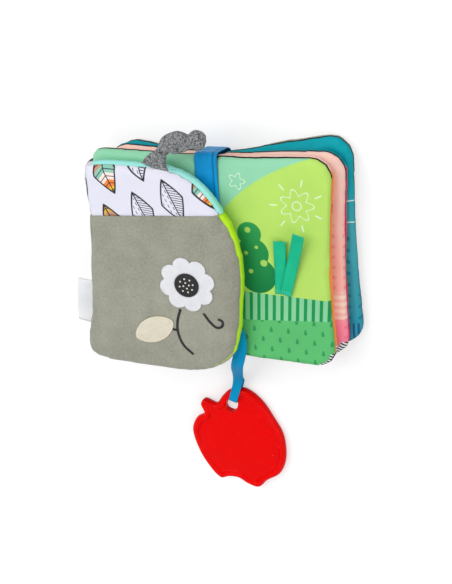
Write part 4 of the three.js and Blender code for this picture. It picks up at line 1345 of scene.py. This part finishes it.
def lining(slot, color, wrap_color):
    """Plain cloth, with the front's own cloth carried round the hinged side."""
    finish = Finish(slot)
    x, y, _ = finish.place()
    low, high = FLAP_HINGE_BOTTOM, FLAP_HINGE_TOP
    hinge_x = (y - low[1]) * ((high[0] - low[0]) / (high[1] - low[1])) + (low[0] - FLAP_WRAP)
    facing = finish.node("ShaderNodeTexCoord", output=1)
    foot = finish.split(facing)[1].below(-0.4, 0.05) * x.below(32, 1)
    wrap = union((x - hinge_x).below(6, 0.6), foot)
    shade = finish.noise(1.7, 3, seed=2.0)
    color = finish.mix(wrap, color, finish.mix(shade, wrap_color, paint(190, 189, 178)))
    return printed(finish, color, 0.65)


printed_cloth = printed_flap()
aqua_cloth = lining("aqua_cloth", paint(156, 232, 222), paint(224, 224, 238))
lime_cloth = lining("lime_cloth", paint(182, 232, 40), paint(140, 139, 124))
flap_front, flap_lining = make_flap()
flap_parts = [
    (flap_front, "flap_print", 1, printed_cloth, "cover_print_panel", "cover_crinkle_film"),
    (flap_front, "flap_plush", -1, grey_plush, "cover_plush_panel", "cover_padding", "cover_squeaker"),
    (flap_lining, "flap_lining_aqua", 1, aqua_cloth, "cover_lining_upper"),
    (flap_lining, "flap_lining_lime", -1, lime_cloth, "cover_lining_lower"),
]
flap_pieces = []
for whole, name, keep, finish, *nodes in flap_parts:
    part = split_across(whole, name, keep, finish)
    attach(part, "cover")
    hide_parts(*nodes)
    flap_pieces.append(part)
for whole in (flap_front, flap_lining):
    bpy.data.objects.remove(whole)


def surface_of(pieces):
    """A finder of the height of these pieces' top, in millimetres, at a point seen from above."""
    trees = [skin_of(piece) for piece in pieces]

    def height(x, y):
        start = GUTTER + Vector((x, y, 200)) * MM
        hits = [tree.ray_cast(start, Vector((0, 0, -1)))[0] for tree in trees]
        return max((hit.z / MM for hit in hits if hit is not None), default=None)

    return height


flap_height = surface_of(flap_pieces[:2])


def laid_on(piece, height, lift):
    """The piece dropped so that its underside follows the surface below it."""
    points = coordinates(piece)
    fallback = height(*points[:, :2].mean(axis=0))
    for i, (x, y, z) in enumerate(points):
        below = height(x, y)
        points[i, 2] = z + (fallback if below is None else below) + lift
    put_back(piece, points)
    return piece


# Patches: satin and plush shapes sewn on the plush with a dense edge of thread. They make a flower,
# its dark middle, a leaf, and stems that are satin stitched in black.
FLOWER_X = -17
FLOWER_Y = -12
FLOWER_RADIUS = 21
FLOWER_PETALS = 8
MIDDLE_RADIUS = 9
LEAF_X = -46
LEAF_Y = -51
LEAF_LENGTH = 34
LEAF_WIDTH = 19
LEAF_TURN = math.radians(28)
PATCH_CLOTH = 0.9
PATCH_SWELL = 0.35
STITCH_GROUP = "stitches_along_a_path"


def stitch_tree():
    """A node tree that lays stitches along a path, each turned from the path and of a given size."""
    tree = bpy.data.node_groups.new(STITCH_GROUP, "GeometryNodeTree")
    tree.interface.new_socket("Geometry", in_out="INPUT", socket_type="NodeSocketGeometry")
    for name in ("Spacing", "Length", "Width", "Turn"):
        tree.interface.new_socket(name, in_out="INPUT", socket_type="NodeSocketFloat")
    tree.interface.new_socket("Thread", in_out="INPUT", socket_type="NodeSocketMaterial")
    tree.interface.new_socket("Geometry", in_out="OUTPUT", socket_type="NodeSocketGeometry")
    made = {}

    def add(key, kind, settings=None, links=None, values=None):
        node = tree.nodes.new(kind)
        for name, value in (settings or {}).items():
            setattr(node, name, value)
        for socket, value in (values or {}).items():
            node.inputs[socket].default_value = value
        for socket, (source, output) in (links or {}).items():
            tree.links.new(made[source].outputs[output], node.inputs[socket])
        made[key] = node

    add("in", "NodeGroupInput")
    add("line", "GeometryNodeMeshToCurve", None, {"Mesh": ("in", "Geometry")})
    add(
        "spots",
        "GeometryNodeCurveToPoints",
        {"mode": "LENGTH"},
        {"Curve": ("line", 0), "Length": ("in", "Spacing")},
    )
    add(
        "facing",
        "FunctionNodeAxesToRotation",
        {"primary_axis": "Z", "secondary_axis": "X"},
        {"Secondary Axis": ("spots", "Tangent")},
        {"Primary Axis": (0, 0, 1)},
    )
    add("spin", "ShaderNodeCombineXYZ", None, {"Z": ("in", "Turn")})
    add("euler", "FunctionNodeEulerToRotation", None, {0: ("spin", 0)})
    add(
        "turned",
        "FunctionNodeRotateRotation",
        {"rotation_space": "LOCAL"},
        {"Rotation": ("facing", 0), "Rotate By": ("euler", 0)},
    )
    add("bead", "GeometryNodeMeshUVSphere", None, None, {"Segments": 6, "Rings": 4, "Radius": 0.5})
    sizes = {"X": ("in", "Length"), "Y": ("in", "Width"), "Z": ("in", "Width")}
    add("size", "ShaderNodeCombineXYZ", None, sizes)
    add(
        "laid",
        "GeometryNodeInstanceOnPoints",
        None,
        {"Points": ("spots", 0), "Instance": ("bead", 0), "Rotation": ("turned", 0), "Scale": ("size", 0)},
    )
    add("real", "GeometryNodeRealizeInstances", None, {0: ("laid", 0)})
    add("colored", "GeometryNodeSetMaterial", None, {"Geometry": ("real", 0), "Material": ("in", "Thread")})
    add("out", "NodeGroupOutput", None, {"Geometry": ("colored", 0)})
    return tree


def stitched(name, paths, thread, spacing, length, width, turn=0.0, closed=False):
    """Stitches that lie level along open or closed paths of points."""
    points, edges = [], []
    for path in paths:
        start = len(points)
        points += [GUTTER + Vector(p) * MM for p in np.array(path, float).tolist()]
        edges += [(start + i, start + i + 1) for i in range(len(path) - 1)]
        if closed:
            edges.append((start + len(path) - 1, start))
    mesh = bpy.data.meshes.new(name)
    mesh.from_pydata(points, edges, [])
    piece = linked(name, mesh)
    tree = bpy.data.node_groups.get(STITCH_GROUP) or stitch_tree()
    sewing = piece.modifiers.new("sewing", "NODES")
    sewing.node_group = tree
    settings = {"Spacing": spacing * MM, "Length": length * MM, "Width": width * MM, "Turn": turn}
    settings["Thread"] = thread.material
    for item in tree.interface.items_tree:
        if item.in_out == "INPUT" and item.name in settings:
            sewing[item.identifier] = settings[item.name]
    settle(piece)
    thread.dress(piece)
    return piece


def patch(name, outline, finish):
    """A thin sewn shape with a rounded edge, a little fuller in its middle."""
    rings = [
        at_height(moved_in(outline, 0.3), 0),
        at_height(outline, PATCH_CLOTH * 0.4),
        at_height(moved_in(outline, 0.4), PATCH_CLOTH),
        at_height(moved_in(outline, 1.6), PATCH_CLOTH * 0.86),
        at_height(moved_in(outline, 3.2), PATCH_CLOTH + PATCH_SWELL * 0.6),
    ]
    for share in (0.4, 0.55, 0.7, 0.85):
        rings.append(toward_middle(outline, share, PATCH_CLOTH + PATCH_SWELL))
    piece = lofted(name, rings)
    finish.dress(piece)
    return piece


def petal_outline(radius, petals, depth):
    angles = np.linspace(0, 2 * math.pi, 160, endpoint=False)
    reach = radius - depth * (1 - np.abs(np.cos(angles * petals / 2)) ** 0.6)
    return np.stack([np.cos(angles) * reach, np.sin(angles) * reach], axis=1)


def leaf_shape(length, width):
    angles = np.linspace(0, 2 * math.pi, 80, endpoint=False)
    x = np.cos(angles) * length / 2
    y = np.sin(angles) * width / 2 * (1 - 0.25 * np.abs(np.cos(angles)) ** 3)
    return np.stack([x, y], axis=1)


def thread_finish(slot, color, second, roughness=0.5, name=None):
    finish = Finish(slot, name)
    cloud = finish.noise(2.2, 2)
    fuzz = finish.bump(finish.noise(0.5, 1), 0.08, 0.5)
    return finish.surface(finish.mix(cloud, color, second), roughness, fuzz)


def embroidered(name, dark, light, angle, pitch=0.6):
    """Satin stitch: close threads that run one way and shine a little."""
    finish = Finish(name)
    x, y, _ = finish.place()
    across = x * math.cos(angle) + y * math.sin(angle)
    jitter = finish.noise(2.5, 2)
    threads = ((across + jitter * 0.5) * (2 * math.pi / pitch)).math("SINE")
    cloud = finish.noise(6, 3, seed=2.0)
    color = finish.mix(cloud * 0.6 + (threads * 0.5 + 0.5) * 0.3, dark, light)
    normal = finish.bump(threads, 0.14, 0.6)
    return finish.surface(color, cloud * 0.15 + 0.38, normal, Sheen_Weight=0.15)


def draped(path, height, lift):
    """A flat path laid on a surface."""
    fallback = height(*path.mean(axis=0))
    heights = [height(x, y) or fallback for x, y in path]
    return np.column_stack([path, np.array(heights) + lift])


white_satin = embroidered("white_satin", paint(216, 218, 226), paint(250, 250, 252), 0.5)
black_cloth = thread_finish("black_cloth", paint(16, 16, 20), paint(38, 38, 46), 0.7)
leaf_across = LEAF_TURN + math.pi / 2
cream_satin = embroidered("cream_satin", paint(206, 200, 180), paint(238, 230, 210), leaf_across, 0.9)
white_thread = thread_finish("white_satin", paint(214, 216, 224), paint(248, 248, 250), name="white_thread")
cream_thread = thread_finish("cream_satin", paint(214, 206, 184), paint(240, 234, 214), name="cream_thread")
black_thread = thread_finish("black_cloth", paint(12, 12, 14), paint(36, 36, 42), name="black_thread")

flower_edge = rotated(petal_outline(FLOWER_RADIUS, FLOWER_PETALS, 4.5), 0.2, FLOWER_X, FLOWER_Y)
flower = laid_on(patch("flower_patch", flower_edge, white_satin), flap_height, 0.05)
middle_edge = rotated(petal_outline(MIDDLE_RADIUS, 1, 0), 0, FLOWER_X, FLOWER_Y)
flower_middle = patch("flower_middle_patch", middle_edge, black_cloth)
laid_on(flower_middle, flap_height, PATCH_CLOTH + 0.2)
leaf_edge = rotated(leaf_shape(LEAF_LENGTH, LEAF_WIDTH), LEAF_TURN, LEAF_X, LEAF_Y)
leaf = laid_on(patch("leaf_patch", leaf_edge, cream_satin), flap_height, 0.05)

rims = []
for name, edge, inset, lift, thread, length in (
    ("flower_patch_edging", flower_edge, 0.4, 0.75, white_thread, 2.0),
    ("flower_middle_edging", middle_edge, 0.3, 1.8, black_thread, 1.8),
    ("leaf_patch_edging", leaf_edge, 0.4, 0.75, cream_thread, 2.0),
):
    line = draped(moved_in(edge, inset), flap_height, lift)
    rims.append(stitched(name, [line], thread, 0.5, length, 0.55, math.pi / 2, closed=True))
knots = [
    (FLOWER_X + r * math.cos(a), FLOWER_Y + r * math.sin(a))
    for r, count in ((5.2, 8), (2.2, 4))
    for a in np.linspace(0.2, 2 * math.pi + 0.2, count, endpoint=False)
]
flower_knots = joined(
    "flower_middle_knots",
    [ball("knot", 0.75, x, y, flap_height(x, y) + 2.1, sides=6) for x, y in knots],
)
cream_thread.dress(flower_knots)
stem_path = smooth_path([(-24, -32.5), (-27, -42), (-27.5, -52), (-24, -62), (-17, -69)], 12)
branch_path = smooth_path([(-27.5, -50), (-33, -49.4)], 12)
tendril_path = smooth_path([(-6, -34.5), (-1.5, -41), (3.4, -45), (7.4, -43.6), (8, -39.6), (5, -38)], 12)
black_lines = [draped(path, flap_height, 0.3) for path in (stem_path, branch_path, tendril_path)]
stems = stitched("stem_stitching", black_lines, black_thread, 0.42, 2.3, 0.62, math.pi / 2 - 0.25)
vein_path = rotated(np.stack([np.linspace(-13, 13, 30), np.zeros(30)], axis=1), LEAF_TURN, LEAF_X, LEAF_Y)
vein = stitched("leaf_vein_stitching", [draped(vein_path, flap_height, 1.45)], cream_thread, 1.7, 1.5, 0.5)
for piece in (flower, flower_middle, leaf, *rims, flower_knots, stems, vein):
    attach(piece, "cover")
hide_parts("cover_white_patch")
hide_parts("cover_black_patch")
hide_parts("cover_cream_patch")
for piece, flat in (
    (flower, (2 * FLOWER_RADIUS, 2 * FLOWER_RADIUS)),
    (flower_middle, (2 * MIDDLE_RADIUS, 2 * MIDDLE_RADIUS)),
    (leaf, (LEAF_LENGTH, LEAF_WIDTH)),
):
    area = flat[0] * flat[1] * math.pi / 4
    flat[0] * MM
    flat[1] * MM
    area * MM * MM


# Spine: the plush and print of the cover go on round the left side, as one soft panel, down to the
# back of the book. It bends where the cover opens and where the turned pages push it back.
SPINE_CLOTH = 2.2
SPINE_BULGE = 4.2
SPINE_BOTTOM_Y = -71
SPINE_TOP_Y = 70
SPINE_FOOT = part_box("spine_panel")[0].z / MM
SPINE_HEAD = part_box("spine_panel")[1].z / MM
SPINE_PARTING = 27
SPINE_LEAST_WIDTHS = (88, 83)


def flap_edge_x(y):
    """The left edge of the flap at a height on the page."""
    found = []
    for a, b in zip(flap_edge, np.roll(flap_edge, -1, axis=0)):
        if (a[1] - y) * (b[1] - y) <= 0 and a[1] != b[1]:
            found.append(a[0] + (b[0] - a[0]) * (y - a[1]) / (b[1] - a[1]))
    return min(found)


def eased_step(value, low, high):
    return eased(min(max((value - low) / (high - low), 0), 1))


def spine_x(y, z):
    """The inner side of the spine panel: clear of the pages below and of the flap's edge above."""
    back_edge = -87 / math.cos(BACK_TURN) - math.tan(BACK_TURN) * y
    edge = flap_edge_x(y)
    widest = min(back_edge, edge, *(-width for width in SPINE_LEAST_WIDTHS))
    rise = min(max((z - SPINE_FOOT) / (SPINE_HEAD - SPINE_FOOT), 0), 1)
    foot = eased_step(rise, 0, 0.3)
    head = eased_step(rise, 0.72, 0.95)
    side = back_edge + (widest - back_edge) * foot - SPINE_BULGE * math.sin(math.pi * rise)
    return side + (edge - side) * head - 0.35


def make_spine():
    rows = np.linspace(SPINE_BOTTOM_Y, SPINE_TOP_Y, 72)
    heights = np.linspace(SPINE_FOOT, SPINE_HEAD, 26)
    rings = []
    for y in rows:
        outer, inner = [], []
        for z in heights:
            x = spine_x(y, z)
            fold = noise.noise((y / 17, z / 8, 8.0)) * 0.7
            shy = 0.35 * math.exp(-min(y - SPINE_BOTTOM_Y, SPINE_TOP_Y - y) / 1.2)
            outer.append((x - SPINE_CLOTH * (1 - shy) - max(fold, -0.5), y, z))
            inner.append((x, y, z))
        rings.append(np.array(outer + inner[::-1]))
    return lofted("spine", rings)


spine = make_spine()
spine_parts = []
for name, keep, finish in (("spine_print", 1, printed_cloth), ("spine_plush", -1, grey_plush)):
    part = split_across(spine, name, keep, finish)
    for height_name, side in (("_upper", 1), ("_lower", -1)):
        shell = shell_of(part.data)
        level_cut(shell, SPINE_PARTING, side)
        piece = closed_part(name + height_name, shell, finish)
        spine_parts.append((piece, side))
    bpy.data.objects.remove(part)
bpy.data.objects.remove(spine)
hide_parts("spine_panel")
for piece, side in spine_parts:
    if side > 0:
        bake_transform(piece)
    else:
        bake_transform(piece)


# Side tag: a folded piece of white satin tape, sewn into the spine's seam by its two ends and left
# blank.
TAG_LENGTH = 13
TAG_HEIGHT = 36
TAG_CLOTH = 0.42
TAG_Y = -40

tag_low, tag_high = ((corner - GUTTER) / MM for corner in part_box("side_tag"))
tag_z = (tag_low.z + tag_high.z) / 2
tag_top_x = spine_x(TAG_Y + TAG_HEIGHT / 2, tag_z)
tag_bottom_x = spine_x(TAG_Y - TAG_HEIGHT / 2, tag_z)
tag_lean = -math.atan2(tag_top_x - tag_bottom_x, TAG_HEIGHT)
tag_root = np.array([(tag_top_x + tag_bottom_x) / 2 - SPINE_CLOTH - 0.6, TAG_Y])
outward = np.array([-math.cos(tag_lean), -math.sin(tag_lean)])
edgewise = (-math.sin(tag_lean), math.cos(tag_lean), 0)
profile = [(0, 0.3), (3, 0.45), (8, 0.62), (11.5, 0.6), (12.6, 0.42), (13, 0), (12.6, -0.42), (11.5, -0.6)]
profile += [(8, -0.62), (3, -0.45), (0, -0.3)]
profile = smooth_path(profile, 5)
tag_path = [(*(tag_root + outward * d), tag_z + h) for d, h in profile]
side_tag = strip("side_tag_tape", tag_path, edgewise, TAG_HEIGHT, TAG_CLOTH, columns=20)
points = coordinates(side_tag)
for i, (x, y, z) in enumerate(points):
    away = min(max((tag_root[0] - x) / TAG_LENGTH, 0), 1)
    points[i, 2] += away * away * 1.1 * math.sin((y - TAG_Y) / TAG_HEIGHT * math.pi + 0.6)
put_back(side_tag, points)
satin("white_satin", paint(224, 226, 232), paint(250, 250, 252), rib=0.6, name="white_tape").dress(side_tag)
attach(side_tag, "side_tag")
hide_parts("side_tag")
path_length(tag_path) * MM


# Ribbon tags: two loose ends of green ribbon, sewn down together at their foot on the right page. The
# left one lies almost flat, and the right one, on top of it, curls up.
RIBBON_WIDTH = 10
RIBBON_CLOTH = 0.6
RIBBON_TAG_WIDTH = 8.6
TAG_SEAM_Y = -22.2
TAG_LIFT = 0.75
TAG_OVER = 1.15
# Each tag: its name, its foot's place, its lean, its length, how far it curls up and its place in the pile
RIBBON_TAGS = [
    ("ribbon_tag_left", 48, math.radians(-2), 42.5, 2.8, 0),
    ("ribbon_tag_right", 51.6, math.radians(-15), 52, 8, 1),
]
PICOT_PITCH = 1.25

green_satin = satin("green_satin", paint(0, 168, 124), paint(32, 204, 156))
green_thread = thread_finish("green_satin", paint(120, 226, 190), paint(170, 240, 212), name="green_thread")
picot_thread = thread_finish("green_satin", paint(0, 150, 116), paint(30, 190, 150), name="picot_thread")
page_height = surface_of([spreads[2]["right"][0]])


def make_ribbon_tag(name, x, lean, length, curl, over):
    forward = np.array((-math.sin(lean), math.cos(lean)))
    path = []
    for t in np.linspace(0, 1, 40):
        px, py = np.array((x, TAG_SEAM_Y)) + forward * length * t
        sway = 0.7 * math.sin(t * 5 + x) * t
        path.append((px, py, STACK_TOP + TAG_LIFT + TAG_OVER * over + curl * t * t + sway))
    tag = strip(name + "_ribbon", path, (math.cos(lean), math.sin(lean), 0), RIBBON_TAG_WIDTH, RIBBON_CLOTH)
    points = coordinates(tag)
    for i, (px, py, pz) in enumerate(points):
        share = min(max((py - TAG_SEAM_Y) / length, 0), 1)
        middle = x - math.tan(lean) * (py - TAG_SEAM_Y)
        points[i, 2] += share * 0.12 * (px - middle) * (1 if over else -1)
        ground = page_height(px, py)
        if ground is not None:
            points[i, 2] = max(points[i, 2], ground + 0.1 + (TAG_OVER * over if share < 0.3 else 0))
    put_back(tag, points)
    green_satin.dress(tag)
    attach(tag, "ribbon_tags")
    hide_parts(name)
    side = np.array((-math.cos(lean), -math.sin(lean))) * (RIBBON_TAG_WIDTH / 2 + 0.1)
    edge = np.array([(px + side[0], py + side[1]) for px, py, pz in path])
    levels = surface_of([tag])
    inward = -side * 0.12
    heights = [levels(*(point + inward)) or pz for point, (px, py, pz) in zip(edge, path)]
    picots = stitched(
        name + "_picots",
        [np.column_stack([edge, np.array(heights) - 0.25])],
        picot_thread, PICOT_PITCH, 0.75, 0.5,
    )
    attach(picots, "ribbon_tags")
    return tag


tags = [make_ribbon_tag(*tag_facts) for tag_facts in RIBBON_TAGS]

tag_height = surface_of(tags)
foot = np.stack([np.linspace(44.4, 55.4, 20), np.linspace(-20.8, -21.4, 20)], axis=1)
foot_rows = [draped(foot + (0, offset), tag_height, 0.1) for offset in (0, 1.7)]
foot_stitches = stitched("ribbon_tag_stitching", foot_rows, green_thread, 1.3, 1.0, 0.36)
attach(foot_stitches, "ribbon_tags")


# Tail: a strip of grey heather jersey, gathered into the flap's top seam and knotted near its root, with
# its end bunched up beyond the knot.
TAIL_SIDES = 36
TAIL_ROUTE = [
    (-35.4, 74, -0.8, 10.8, 1.7),
    (-34, 78, 0, 8.6, 2.2),
    (-31.6, 82, 0.8, 6, 2.8),
    (-29.2, 85.6, 1.8, 3.9, 3.1),
    (-27.2, 88.6, 2.6, 2.8, 3),
    (-25, 91.2, 2.8, 4.8, 4.8),
    (-22, 93, 2.8, 6.9, 6.6),
    (-18.2, 94, 2.8, 7.7, 7.4),
    (-14, 94.4, 2.6, 7.3, 6.9),
    (-10, 94.4, 2.4, 6.1, 5.9),
    (-7.4, 94.6, 2.2, 4.8, 4.8),
    (-5, 95.2, 2.2, 5.8, 5.6),
    (-1.8, 96, 2.2, 6.9, 6.6),
    (1.6, 96.4, 2.2, 6.3, 6),
    (4, 96.6, 2.2, 3.8, 3.8),
]
TAIL_FOLD = 1.25
TAIL_GRAIN = 0.7
# Each knot is a turn of the same strip round the tail: where its middle is, its radii and its lean
TAIL_WRAPS = [((-28, 87.2, 2.4), 3, 1.4, 0.5), ((-24.4, 90, 4.6), 3.2, 1.2, 0.9)]


def square_to(way):
    """Two directions square to a way: one that is level, and one that rises."""
    side = np.cross((0, 0, 1), way)
    side /= np.linalg.norm(side)
    return side, np.cross(way, side)


def make_tail():
    route = smooth_path(TAIL_ROUTE, 6)
    centres = np.column_stack([route[:, :2], FLAP_SEAM + route[:, 2]])
    along = unit(np.gradient(centres, axis=0))
    rings = []
    for i, (centre, way) in enumerate(zip(centres, along)):
        side, up = square_to(way)
        ring = []
        for k in range(TAIL_SIDES):
            a = 2 * math.pi * k / TAIL_SIDES
            fold = math.sin(5 * a + i * 0.16) + 0.6 * math.sin(3 * a - i * 0.25 + 1)
            fold += 1.2 * noise.noise((math.cos(a) * 1.3, math.sin(a) * 1.3, i * 0.13))
            shape = 1 + TAIL_FOLD * fold / 14
            aside = side * route[i, 3] * math.cos(a) * shape
            ring.append(centre + aside + up * route[i, 4] * math.sin(a) * shape)
        rings.append(np.array(ring))
    body = lofted("tail_body", rings)
    wraps = []
    for (x, y, rise), radius, strand, lean in TAIL_WRAPS:
        nearest = int(np.argmin(np.linalg.norm(route[:, :2] - (x, y), axis=1)))
        way = along[nearest]
        side, up = square_to(way)
        middle = np.array((x, y, FLAP_SEAM + rise))
        loop = []
        for a in np.linspace(0, 2 * math.pi, 36, endpoint=False):
            slide = way * math.cos(a + 0.6) * strand * lean
            loop.append(middle + (side * math.cos(a) + up * math.sin(a)) * radius + slide)
        wraps.append(tube("wrap", loop, strand, sides=12))
    return fused("jersey_tail", [body, *wraps], TAIL_GRAIN)


tail = make_tail()
jersey().dress(tail)
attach(tail, "tail")
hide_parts("knotted_tail")


# Ribbon loop: one blue ribbon from the flap's lower right seam, down through the teether's slot,
# round its bar and back. A sewn tuck holds the two strands together below the page's edge.
LOOP_STRAND_GAP = 0.5
LOOP_ROUTE = [(0, 41), (11, 40.6), (22, 39.8), (31, 37.6), (40, 31), (50, 21.5)]
LOOP_UPPER_END = [(59, 14.6), (67, 10.2)]
LOOP_LOWER_END = [(58, 11.6), (65, 3.8)]
LOOP_SEAM_END = (-3.5, 44.6)
LOOP_SEAM_ASIDE = -9
LOOP_ASIDE_REACH = 24
LOOP_WIDTH_SHARE = 0.94
LOOP_NARROW = 7
LOOP_NARROWS_FROM = 40
LOOP_NARROWS_OVER = 34
LOOP_BEND_HEIGHT = 41
LOOP_BEND_REACH = 26


def loop_path():
    start = np.array((LOOP_SEAM_X, LOOP_SEAM_Y), float)
    hole = np.array((TEETHER_HOLE_X, TEETHER_HOLE_Y), float)
    length = np.linalg.norm(hole - start)
    line = (hole - start) / length
    beside = np.array((-line[1], line[0]))

    def at(along, above):
        """Down from the seam, which lies a little aside, under the flap's edge."""
        aside = LOOP_SEAM_ASIDE * max(0, 1 - (along - LOOP_SEAM_END[0]) / LOOP_ASIDE_REACH) ** 2
        return (*(start + line * along + beside * aside), above)

    apart = (RIBBON_CLOTH + LOOP_STRAND_GAP) / 2
    bar_end = length - TEETHER_SLOT_LENGTH / 2
    bar_start = bar_end - TEETHER_BAR_WIDTH
    over = TEETHER_THICKNESS + 0.95
    under = 0.8
    room = 1.15
    points = [at(*LOOP_SEAM_END)]
    points += [at(along, above + apart) for along, above in LOOP_ROUTE]
    points += [at(along, above) for along, above in LOOP_UPPER_END]
    points += [
        at(bar_start + 1, over),
        at((bar_start + bar_end) / 2, over + 0.2),
        at(bar_end + room, over - 1.4),
        at(bar_end + room + 0.4, TEETHER_THICKNESS / 2),
        at(bar_end + room, under + 0.9),
        at(bar_end - 1, under),
        at(bar_start + 1, under),
    ]
    points += [at(along, above) for along, above in reversed(LOOP_LOWER_END)]
    points += [at(along, above - apart) for along, above in reversed(LOOP_ROUTE)]
    points.append(at(LOOP_SEAM_END[0], LOOP_SEAM_END[1] - 2 * apart))
    return smooth_path(points, 6), line


ribbon_path, ribbon_line = loop_path()
bright_blue_satin = satin("bright_blue_satin", paint(0, 132, 186), paint(0, 164, 214), gloss=0.06)
loop_across = np.array((-ribbon_line[1], ribbon_line[0], 0))
down = (ribbon_path[:, :2] - (LOOP_SEAM_X, LOOP_SEAM_Y)) @ ribbon_line
gathered = np.clip((down - LOOP_NARROWS_FROM) / LOOP_NARROWS_OVER, 0, 1)
full_width = RIBBON_WIDTH * LOOP_WIDTH_SHARE
ribbon_widths = full_width - (full_width - LOOP_NARROW) * gathered
ribbon = strip("teether_loop_ribbon", ribbon_path, loop_across, ribbon_widths, RIBBON_CLOTH)
bright_blue_satin.dress(ribbon)
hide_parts("teether_ribbon")
path_length(ribbon_path) * MM
seam_point = np.array((LOOP_SEAM_X, LOOP_SEAM_Y, LOOP_BEND_HEIGHT))
end = GUTTER + Vector(seam_point + np.array((*ribbon_line, 0)) * LOOP_BEND_REACH) * MM
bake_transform(ribbon)
